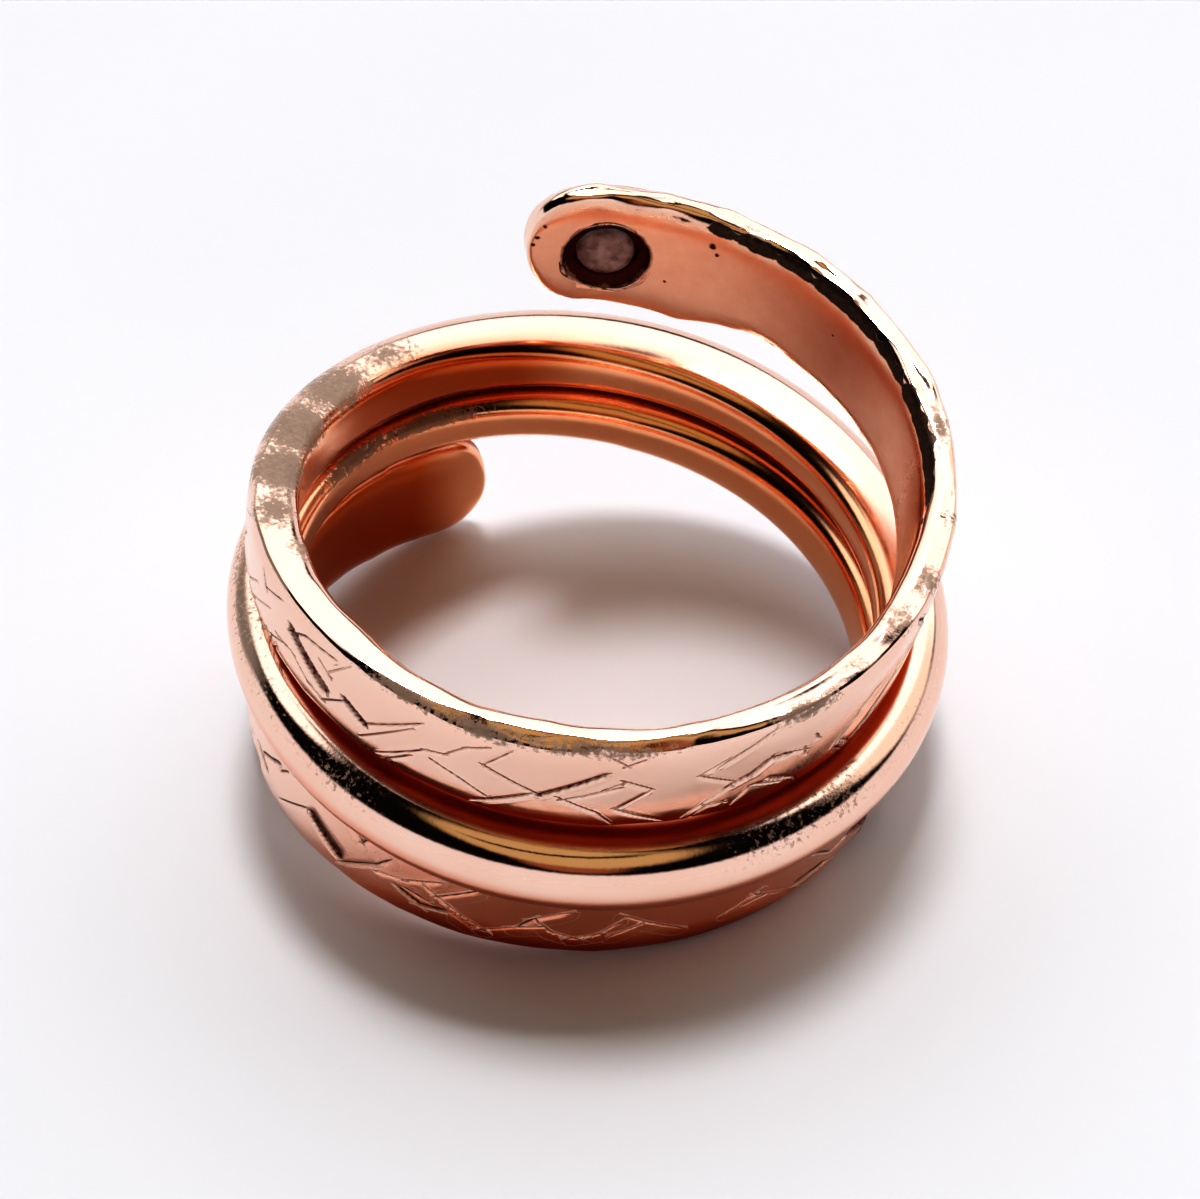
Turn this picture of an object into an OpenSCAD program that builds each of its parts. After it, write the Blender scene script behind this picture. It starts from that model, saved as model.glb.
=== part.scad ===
// A wrap ring: one length of copper wire, hammered flat towards both ends, engraved and wound into three turns,
// with a small stone set in its raised end. It lies as it rests by itself, its coil axis nearly upright and
// leaning a little. The origin is where the coil axis meets the surface that it rests on.

/* [Coil] */
// Inside radius of the coil, for the finger
bore_r = 9; // [8.5:0.05:9.5]
// Gap left between neighbouring turns, which touch on the real ring
turn_gap = 0.1; // [0.08:0.01:0.15]
// Wrap angle at the raised end, counted from the front of the middle turn
upper_end = -564; // [-568:1:-555]
// Wrap angle at the low end
lower_end = 514; // [500:1:520]
// How far the coil axis leans to the right as the ring rests, in degrees
lean_right = 9; // [7:0.1:11]
// How far it leans towards the front
lean_front = 2.3; // [0:0.1:4]
// Height of the middle turn's front above the resting surface, along the coil axis
rest_height = 5.54; // [5.4:0.01:5.7]

/* [Hammering] */
// Depth of the hammer marks along the edges of the flat bands
hammer_depth = 0.05; // [0:0.01:0.08]
// Length of one hammer mark along the band
hammer_pitch = 2.4; // [1.8:0.1:4]
// Length of the rounded tip at each end
tip_len = 1.9; // [1.4:0.1:2.4]

/* [Stone] */
// Wrap angle of the stone's centre
stone_at = -549.5; // [-550:0.5:-546]
// Diameter of the stone
stone_d = 2.4; // [2:0.1:2.6]
// Height of the stone above the outer face
stone_dome = 0.45; // [0.3:0.05:0.6]
// Depth of the seat, cut from the outer face
seat_depth = 0.8; // [0.6:0.05:0.85]
// Diameter of the hole that shows the stone's back
back_hole_d = 1.7; // [1.4:0.1:1.8]
// Diameter of the shallow recess round that hole
recess_d = 2.7; // [2.4:0.1:2.8]
// Depth of that recess
recess_depth = 0.15; // [0.1:0.05:0.2]

/* [Hidden] */

// One row every 60 degrees of wrap: wrap angle, inner radius over bore_r, half thickness across the band, half
// width along the coil axis, lift off the neighbouring turn, and tilt of the section in degrees.
WRAP = 0; OVER = 1; THICK = 2; WIDE = 3; LIFT = 4; TILT = 5;
ROW_STEP = 60;
ROWS = [
    [-600, -0.10, 0.52, 2.20, 1.80, 8],
    [-540,  0.04, 0.58, 2.30, 2.00, 4],
    [-480,  0.10, 0.60, 2.24, 1.80, 1],
    [-420,  0.14, 0.55, 2.20, 0.40, -6],
    [-360,  0.05, 0.58, 1.95, 0.00, -2],
    [-300,  0.06, 0.68, 1.75, 0.20, 0],
    [-240,  0.10, 0.98, 1.36, 0.00, 4],
    [-180,  0.08, 1.32, 1.00, 0.00, 10],
    [-120,  0.06, 1.18, 0.95, 0.00, 10],
    [ -60,  0.03, 1.20, 1.10, 0.00, 5],
    [   0,  0.03, 1.26, 1.26, 0.00, 0],
    [  60, -0.10, 1.12, 1.18, 0.00, 0],
    [ 120, -0.05, 1.08, 0.90, 0.00, 5],
    [ 180, -0.25, 1.34, 0.96, 0.04, 10],
    [ 240, -0.04, 1.15, 1.24, 0.00, 4],
    [ 300,  0.05, 0.80, 1.50, 0.00, 0],
    [ 360, -0.03, 0.60, 1.76, 0.00, 0],
    [ 420,  0.07, 0.58, 2.02, 0.00, 3],
    [ 480,  0.25, 0.60, 2.32, 0.15, 2],
    [ 540,  0.27, 0.58, 2.42, 0.20, 0],
];
FIRST_WRAP = ROWS[0][WRAP];
LAST_ROW = len(ROWS) - 1;
HALF_TURN = 180;
TURN = 360;

SECTION_POINTS = 26;      // points round one section
STATION_STEP = 5.6;       // degrees of wrap between sections
TIP_STATIONS = 7;         // extra sections over each rounded tip
TIP_POWER = 2.4;          // 2 gives a half ellipse, more a blunter tip
TIP_FLAT = 0.12;          // part of the width that the last section keeps
TIP_THIN = 0.6;           // part of the thickness that the last section keeps
INSIDE_POWER = 4;         // squareness of the section towards the finger
ROUND_POWER = 2;          // the outer side of round wire
BAND_POWER = 5;           // the outer side of a flat band
SECOND_WAVE = 0.6;        // strength of a second, longer row of hammer marks
SECOND_PITCH = 1.6;       // its pitch, in hammer pitches
EDGE_SWAY = 0.5;          // how far the edges sway in and out, in hammer depths
EDGE_LAG = 130;           // degrees of a mark by which the lower edge lags behind the upper
FRONT = -90;              // direction of the ring's front, where the wrap angle is 0
RIGHT_ANGLE = 90;

// Smooth curve through one column of the rows
function pick(i, col) = ROWS[max(0, min(LAST_ROW, i))][col];
function blend(a, b, c, d, t) =
    b + t / 2 * (c - a + t * (2 * a - 5 * b + 4 * c - d + t * (3 * b - a - 3 * c + d)));
function row_value(w, col) =
    let (u = (w - FIRST_WRAP) / ROW_STEP, i = floor(u))
    blend(pick(i - 1, col), pick(i, col), pick(i + 1, col), pick(i + 2, col), u - i);

// Width, thickness and squareness of the section at wrap angle w, before the tips are rounded
function half_wide(w) = row_value(w, WIDE);
function half_thick(w) = row_value(w, THICK);
function flatness(w) = max(0, min(1, half_wide(w) / half_thick(w) - 1));
function inner_r(w) = bore_r + row_value(w, OVER);

// Height of the section's centre: the middle turn is a plain helix, and each turn above or below is stacked on
// its neighbour
function helix_pitch() = half_wide(-HALF_TURN) + half_wide(HALF_TURN) + turn_gap;
function stack(w, next) = half_wide(w) + half_wide(next) + turn_gap + row_value(w, LIFT);
function height(w) =
    w < -HALF_TURN ? height(w + TURN) + stack(w, w + TURN)
    : w > HALF_TURN ? height(w - TURN) - stack(w, w - TURN)
    : -helix_pitch() * w / TURN;

// The tips: 1 along the band, falling to TIP_FLAT in a rounded nose
function arc(degrees) = degrees * PI / HALF_TURN * bore_r;
function from_end(w) = arc(min(w - upper_end, lower_end - w));
function nose(w) =
    let (u = 1 - min(1, max(0, from_end(w)) / tip_len))
    max(TIP_FLAT, pow(1 - pow(u, TIP_POWER), 1 / TIP_POWER));
function thin(w) = TIP_THIN + (1 - TIP_THIN) * nose(w);

// Hammer marks: soft waves along the edges of the flat bands, out of step between the two edges
function hammer(w, upper_edge) =
    let (s = arc(w) / hammer_pitch * TURN + (upper_edge ? 0 : EDGE_LAG))
    hammer_depth * flatness(w) * (sin(s) + SECOND_WAVE * sin(s / SECOND_PITCH));

// One section: squared towards the finger, and outwards as round as the wire still is
function bulge(c, power) = sign(c) * pow(abs(c), 2 / power);
function section_power(c, w) = c < 0 ? INSIDE_POWER : ROUND_POWER + (BAND_POWER - ROUND_POWER) * flatness(w);
function section_point(w, t) =
    let (
        c = cos(t), s = sin(t), power = section_power(c, w), tilt = row_value(w, TILT), mark = hammer(w, s > 0),
        out = bulge(c, power) * half_thick(w) * thin(w) + EDGE_SWAY * mark * abs(s),
        up = bulge(s, power) * (half_wide(w) * nose(w) - max(0, mark)),
        r = inner_r(w) + half_thick(w) + out * cos(tilt) - up * sin(tilt),
        azimuth = FRONT - w
    )
    [r * cos(azimuth), r * sin(azimuth), height(w) + out * sin(tilt) + up * cos(tilt)];

// Wrap angles of the sections, closer together over the tips
TIP_WRAP = tip_len / arc(1);
function ease(i) = TIP_WRAP * (1 - cos(RIGHT_ANGLE * i / TIP_STATIONS));
BODY_START = upper_end + TIP_WRAP;
BODY_END = lower_end - TIP_WRAP;
BODY_STEPS = ceil((BODY_END - BODY_START) / STATION_STEP);
STATIONS = [
    for (i = [0 : TIP_STATIONS - 1]) upper_end + ease(i),
    for (i = [0 : BODY_STEPS]) BODY_START + (BODY_END - BODY_START) * i / BODY_STEPS,
    for (i = [TIP_STATIONS - 1 : -1 : 0]) lower_end - ease(i),
];

// Puts the upright coil down on its lower edge
module as_it_rests() {
    rotate([lean_front, lean_right, 0]) translate([0, 0, rest_height]) children();
}

// Carries a shape drawn along +X, outwards from the middle of the raised end's inner face, to the stone's place
module at_stone() {
    translate([0, 0, height(stone_at)]) rotate([0, 0, FRONT - stone_at])
        translate([inner_r(stone_at), 0, 0]) rotate([0, RIGHT_ANGLE - row_value(stone_at, TILT), 0]) children();
}

// The whole wire as one swept solid
module forged_wire() {
    n = SECTION_POINTS;
    last = len(STATIONS) - 1;
    points = [for (w = STATIONS) for (k = [0 : n - 1]) section_point(w, TURN * k / n)];
    sides = [
        for (i = [0 : last - 1]) for (k = [0 : n - 1])
            let (a = i * n + k, b = i * n + (k + 1) % n)
            each [[a, a + n, b + n], [a, b + n, b]]
    ];
    caps = [[for (k = [0 : n - 1]) k], [for (k = [n - 1 : -1 : 0]) last * n + k]];
    polyhedron(points = points, faces = concat(sides, caps), convexity = 8);
}

STONE_FIT = 0.04;         // clearance between the stone and its seat
END_THICK = 2 * half_thick(stone_at);
LEDGE = END_THICK - seat_depth;
CUT = 1;                  // how far a cutter runs past a face
SIDES = 48;               // sides of the round cuts and of the stone
DOME_SIDES = 96;          // sides of the circle that the dome is cut from

// The band, with the stepped hole for the stone
module coil_band() {
    color("#c98270") as_it_rests() difference() {
        forged_wire();
        at_stone() {
            translate([0, 0, -CUT]) cylinder(h = END_THICK + CUT, d = back_hole_d, $fn = SIDES);
            translate([0, 0, -CUT]) cylinder(h = recess_depth + CUT, d = recess_d, $fn = SIDES);
            translate([0, 0, LEDGE]) cylinder(h = seat_depth + CUT, d = stone_d + 2 * STONE_FIT, $fn = SIDES);
        }
    }
}

// A round cabochon: a flat back, a short girdle and a dome
module stone() {
    girdle = seat_depth - STONE_FIT;
    r = stone_d / 2;
    dome_r = (r * r + stone_dome * stone_dome) / (2 * stone_dome);
    color("#5a3c40") as_it_rests() at_stone() translate([0, 0, LEDGE + STONE_FIT]) rotate_extrude($fn = SIDES)
        intersection() {
            translate([0, girdle + stone_dome - dome_r]) circle(r = dome_r, $fn = DOME_SIDES);
            square([r, girdle + stone_dome]);
        }
}

coil_band();
stone();
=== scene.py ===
"""A copper wrap ring: one wire, hammered flat at both ends, engraved on its flat bands and set with a small
stone."""
from functools import partial
import math

import bpy
import numpy as np
from mathutils import Matrix, Vector


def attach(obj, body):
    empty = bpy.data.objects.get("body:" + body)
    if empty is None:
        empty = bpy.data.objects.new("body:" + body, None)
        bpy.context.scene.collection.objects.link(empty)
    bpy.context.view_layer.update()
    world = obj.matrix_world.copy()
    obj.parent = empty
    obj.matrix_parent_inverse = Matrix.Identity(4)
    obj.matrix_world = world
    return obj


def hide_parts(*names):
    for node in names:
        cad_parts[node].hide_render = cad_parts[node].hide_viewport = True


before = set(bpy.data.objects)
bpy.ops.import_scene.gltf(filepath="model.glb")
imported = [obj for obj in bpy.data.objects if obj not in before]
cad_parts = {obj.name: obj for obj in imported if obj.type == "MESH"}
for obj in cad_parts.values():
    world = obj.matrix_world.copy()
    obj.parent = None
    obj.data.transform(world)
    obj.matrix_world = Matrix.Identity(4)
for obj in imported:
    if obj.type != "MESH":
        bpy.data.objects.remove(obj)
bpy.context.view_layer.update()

MM = 0.001

# The coil, in millimetres and degrees of wrap, as the solids have it. Wrap angle 0 is the front of the
# middle turn. It falls towards the raised end and grows towards the low end.
BORE_R = 9.0
TURN = 360.0
TURN_GAP = 0.1
FRONT = -90.0             # direction of the ring's front, where the wrap angle is 0
UPPER_END = -564.0
LOWER_END = 514.0
LEAN_RIGHT = 9.0
LEAN_FRONT = 2.3
REST_HEIGHT = 5.54
TIP_LEN = 1.9
STONE_AT = -549.5
STONE_D = 2.4
STONE_DOME = 0.45
STONE_FIT = 0.04
SEAT_DEPTH = 0.8
BACK_HOLE_D = 1.7
RECESS_D = 2.7
RECESS_DEPTH = 0.15

# How the stone and its hole differ from the solids
PIP = 0.10                # the stone's back fills the hole up to this far under the finger side
OPENED = 0.12             # how much the hole is opened out on the finger side
STONE_LOW = 0.25          # how far the stone sits below the middle of the end's width
STONE_BACK = 0.15         # and how far back from the tip

# One row every 60 degrees: wrap angle, inner radius over BORE_R, half thickness, half width, lift and tilt
ROWS = np.array([
    (-600, -0.10, 0.52, 2.20, 1.80, 8),
    (-540, 0.04, 0.58, 2.30, 2.00, 4),
    (-480, 0.10, 0.60, 2.24, 1.80, 1),
    (-420, 0.14, 0.55, 2.20, 0.40, -6),
    (-360, 0.05, 0.58, 1.95, 0.00, -2),
    (-300, 0.06, 0.68, 1.75, 0.20, 0),
    (-240, 0.10, 0.98, 1.36, 0.00, 4),
    (-180, 0.08, 1.32, 1.00, 0.00, 10),
    (-120, 0.06, 1.18, 0.95, 0.00, 10),
    (-60, 0.03, 1.20, 1.10, 0.00, 5),
    (0, 0.03, 1.26, 1.26, 0.00, 0),
    (60, -0.10, 1.12, 1.18, 0.00, 0),
    (120, -0.05, 1.08, 0.90, 0.00, 5),
    (180, -0.25, 1.34, 0.96, 0.04, 10),
    (240, -0.04, 1.15, 1.24, 0.00, 4),
    (300, 0.05, 0.80, 1.50, 0.00, 0),
    (360, -0.03, 0.60, 1.76, 0.00, 0),
    (420, 0.07, 0.58, 2.02, 0.00, 3),
    (480, 0.25, 0.60, 2.32, 0.15, 2),
    (540, 0.27, 0.58, 2.42, 0.20, 0),
], float)
OVER, THICK, WIDE, LIFT, TILT = range(1, 6)
ROW_STEP = 60.0
INSIDE_POWER = 4.0
TIP_POWER = 2.4
TIP_THIN = 0.6
TIP_FLAT = 0.06           # part of the width that the last section keeps
INSET = 0.02              # the skin lies this far inside the solid's curves, whose flat facets cut corners
CORNER_LOW = 0.33         # reach of the rounding of a flat band's outer corner across its face, at its foot
CORNER_DEEP = 0.80        # the part of the half thickness that it takes there
CROWN = 0.05              # how much a flat face is domed, in half thicknesses

# How finely the wire is divided. The engraved faces are split FINE_SPLIT times along the wire.
ENGRAVED = ((-458.0, -250.0), (246.0, 470.0))
FINE_STEP = 0.079
FINE_SPLIT = 4
WIRE_STEP = 0.52
END_STEP = 0.14
TIP_SECTIONS = 12
FACE_CUT = 0.9            # share of the half width that counts as face, the rest is edge
FACE_POINTS = 45
EDGE_POINTS = 7
INSIDE_CUT = 0.86
INSIDE_POINTS = 13
INSIDE_EDGE_POINTS = 4
MM_PER_DEGREE = 0.18      # along the outer face of a band

# The top edge of the upper band: wrap angle, the reach of its rounding across the face, the part of the
# half thickness that it takes, its power (2 round, less more like a chamfer) and its fall towards the
# finger
TOP_EDGE = np.array([
    (-564, 0.55, 0.90, 2.0, 0.12),
    (-545, 0.50, 0.85, 2.0, 0.12),
    (-525, 0.28, 0.55, 2.0, 0.10),
    (-500, 0.24, 0.45, 2.0, 0.12),
    (-460, 0.22, 0.40, 2.0, 0.12),
    (-430, 0.16, 0.30, 2.0, 0.06),
    (-405, 0.18, 0.35, 1.8, 0.02),
    (-385, 0.24, 0.70, 1.4, 0.00),
    (-372, 0.30, 0.80, 1.4, 0.00),
    (-350, 0.34, 0.85, 1.4, 0.00),
    (-335, 0.26, 0.55, 1.5, 0.00),
    (-320, 0.22, 0.30, 1.8, 0.04),
    (-290, 0.20, 0.28, 2.0, 0.06),
    (-255, 0.40, 0.50, 2.0, 0.04),
    (-220, 0.50, 0.80, 2.0, 0.00),
])
REACH, DEEP, CURVE, FALL = range(1, 5)

# How much further down the upper band's lower edge reaches: at the raised end, and at the right, where the
# band stands off the wire
LOWER_DROP = np.array([
    (-564, 0.20), (-557, 0.42), (-545, 0.50), (-532, 0.46), (-525, 0.15), (-519, 0.00), (-468, 0.00),
    (-460, 0.10), (-448, 0.40), (-435, 0.48), (-418, 0.50), (-410, 0.44), (-402, 0.32), (-394, 0.18),
    (-386, 0.06), (-378, 0.00),
])

# How far the hammered top edge is spread over towards the finger
SPREAD = np.array([
    (-452, 0.00), (-440, 0.22), (-430, 0.26), (-418, 0.20), (-405, 0.10), (-390, 0.07), (-372, 0.00),
    (-366, 0.03), (-358, 0.24), (-350, 0.10), (-340, 0.16), (-331, 0.09), (-319, 0.27), (-308, 0.20),
    (-295, 0.25), (-281, 0.24), (-268, 0.10), (-258, 0.00),
])

# The black line along the finger side of the raised end's top edge: wrap angle and width
BLACK_LINE = np.array([
    (-566, 0.00), (-560, 0.10), (-545, 0.07), (-532, 0.10), (-526, 0.26), (-518, 0.30), (-512, 0.20),
    (-505, 0.26), (-497, 0.28), (-490, 0.20), (-482, 0.22), (-477, 0.28), (-471, 0.36), (-463, 0.42),
    (-457, 0.30), (-450, 0.16), (-440, 0.00),
])

# Dull, roughened spots along the top edge, and two on the last turn at the back: wrap angle, distance from
# the inner corner, half length, half width and strength
DULL_SPOTS = [
    (-367.0, 0.92, 2.40, 0.24, 0.70),
    (-348.0, 0.92, 1.60, 0.25, 0.85),
    (-401.0, 0.85, 1.20, 0.30, 1.0),
    (-412.0, 0.55, 0.60, 0.30, 0.6),
    (-424.0, 0.55, 0.80, 0.40, 0.7),
    (-434.0, 0.70, 0.55, 0.45, 0.9),
    (-447.0, 0.80, 0.40, 0.30, 0.7),
    (-466.0, 0.60, 0.80, 0.45, 0.9),
    (-520.0, 0.35, 0.90, 0.25, 0.6),
    (-333.0, 0.92, 1.70, 0.22, 0.85),
    (-296.0, 0.20, 0.70, 0.40, 0.8),
    (-285.0, 0.70, 0.90, 0.60, 1.1),
    (-273.0, 0.60, 1.20, 0.90, 1.6),
    (-260.0, 0.60, 1.50, 1.00, 1.6),
    (-245.0, 0.70, 1.50, 0.95, 1.4),
    (-230.0, 0.80, 1.20, 0.60, 0.9),
    (118.0, 0.05, 2.40, 0.32, 1.1),
    (138.0, 0.05, 2.40, 0.32, 1.1),
]

# Scuffs along the upper side of the round wire: wrap angle, half length and strength
SCUFFS = [
    (-38.0, 1.6, 0.30),
    (-50.0, 1.2, 0.36),
    (-70.0, 2.4, 0.10),
    (33.0, 1.4, 0.32),
    (52.0, 2.0, 0.18),
    (70.0, 1.6, 0.36),
    (86.0, 2.2, 0.50),
]

# Stretches of wire with marks of their own, as the wrap angles where each begins, is full, fades and ends
TURN_BELOW = (-445, -425, 140, 150)     # another turn lies right under the wire
ROUND_FRONT = (-62, -38, 28, 50)        # the round wire between the fronts of the two bands
ROUND_SHADED_UNDER = (-75, -45, 50, 85)      # where shade is painted under the round wire
LOWER_FRONT = (285, 330, 372, 412)      # the front of the lower band
INNER_SHADE_LEFT = (-262, -240, -205, -185)   # painted shade, a deeper red inside, at the left
INNER_SHADE_END = (440, 470, 496, 510)        # and at the low end


def smooth(low, high, value):
    """0 below low, 1 above high and a smooth step between."""
    t = np.clip((value - low) / (high - low), 0, 1)
    return t * t * (3 - 2 * t)


def stretch(w, place):
    """1 along a stretch of wire, with a soft start and end."""
    begins, full, fades, ends = place
    return smooth(begins, full, w) * (1 - smooth(fades, ends, w))


def along_wire(w, table, column=1):
    """One column of a table, as straight lines between the wrap angles in its first."""
    return np.interp(w, table[:, 0], table[:, column])


def row_value(w, column):
    """The smooth curve through one column of ROWS: a cubic between rows, sloped by the rows beside it."""
    place = (w - ROWS[0, 0]) / ROW_STEP
    i = np.floor(place).astype(int)
    t = place - i
    a, b, c, d = (ROWS[np.clip(i + k, 0, len(ROWS) - 1), column] for k in (-1, 0, 1, 2))
    return b + t / 2 * (c - a + t * (2 * a - 5 * b + 4 * c - d + t * (3 * b - a - 3 * c + d)))


def flatness(w):
    """0 where the wire is round, 1 where it is a flat band twice as wide as thick or more."""
    return np.clip(row_value(w, WIDE) / row_value(w, THICK) - 1, 0, 1)


def stack(w, neighbour):
    """Height between a turn and the one that it lies against: both half widths, the gap and the lift."""
    return row_value(w, WIDE) + row_value(neighbour, WIDE) + TURN_GAP + row_value(w, LIFT)


def height(w):
    """The section's height: the middle turn is a plain helix, with the others stacked above and below."""
    half = TURN / 2
    z = -(row_value(np.array([-half, half]), WIDE).sum() + TURN_GAP) * w / TURN
    above, below = w < -half, w > half
    if above.any():
        z[above] = height(w[above] + TURN) + stack(w[above], w[above] + TURN)
    if below.any():
        z[below] = height(w[below] - TURN) - stack(w[below], w[below] - TURN)
    return z


def arc(degrees):
    """Length of wire in so many degrees of wrap, at the bore."""
    return np.radians(degrees) * BORE_R


def nose(w):
    """The tips' outline: 1 along the wire, falling to a rounded nose over TIP_LEN at each end."""
    from_end = np.minimum(arc(w - UPPER_END), arc(LOWER_END - w))
    u = 1 - np.clip(from_end / TIP_LEN, 0, 1)
    return np.maximum(TIP_FLAT, (1 - u ** TIP_POWER) ** (1 / TIP_POWER))


def thinness(w):
    """The part of its thickness that the wire keeps at the tips."""
    return TIP_THIN + (1 - TIP_THIN) * nose(w)


NOISE_TABLE = 97          # sides of the seeded tables, which repeat past them
DIMPLE_TABLE = 61
DIMPLE_MARGIN = 0.12      # a dimple's middle keeps this far from the sides of its unit square


def lattice_noise(x, y, seed):
    """Soft noise between -1 and 1: a seeded table of heights, blended between its four nearest with smooth
    steps. What a call adds to x and y only takes it to another part of the table."""
    table = np.random.default_rng(seed).uniform(-1, 1, (NOISE_TABLE, NOISE_TABLE))
    i, j = np.floor(x).astype(int), np.floor(y).astype(int)
    fx, fy = x - i, y - j
    fx, fy = fx * fx * (3 - 2 * fx), fy * fy * (3 - 2 * fy)

    def at(a, b):
        return table[(i + a) % NOISE_TABLE, (j + b) % NOISE_TABLE]

    return (at(0, 0) * (1 - fx) * (1 - fy) + at(1, 0) * fx * (1 - fy)
            + at(0, 1) * (1 - fx) * fy + at(1, 1) * fx * fy)


def dimples(x, y, seed):
    """Hammer dimples, 0 at their middles and up to about 1 on the crests between: the squared distance to
    the nearest of a seeded set of points, one in each unit square."""
    shape = (DIMPLE_TABLE, DIMPLE_TABLE, 2)
    table = np.random.default_rng(seed).uniform(DIMPLE_MARGIN, 1 - DIMPLE_MARGIN, shape)
    i, j = np.floor(x).astype(int), np.floor(y).astype(int)
    nearest = np.full(x.shape, np.inf)
    for a in (-1, 0, 1):
        for b in (-1, 0, 1):
            point = table[(i + a) % DIMPLE_TABLE, (j + b) % DIMPLE_TABLE]
            away = (i + a + point[..., 0] - x) ** 2 + (j + b + point[..., 1] - y) ** 2
            nearest = np.minimum(nearest, away)
    return nearest


GRAVER = (0.14, 0.05, 0.0)    # width, depth and lean of a fine graver's stroke

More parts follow.
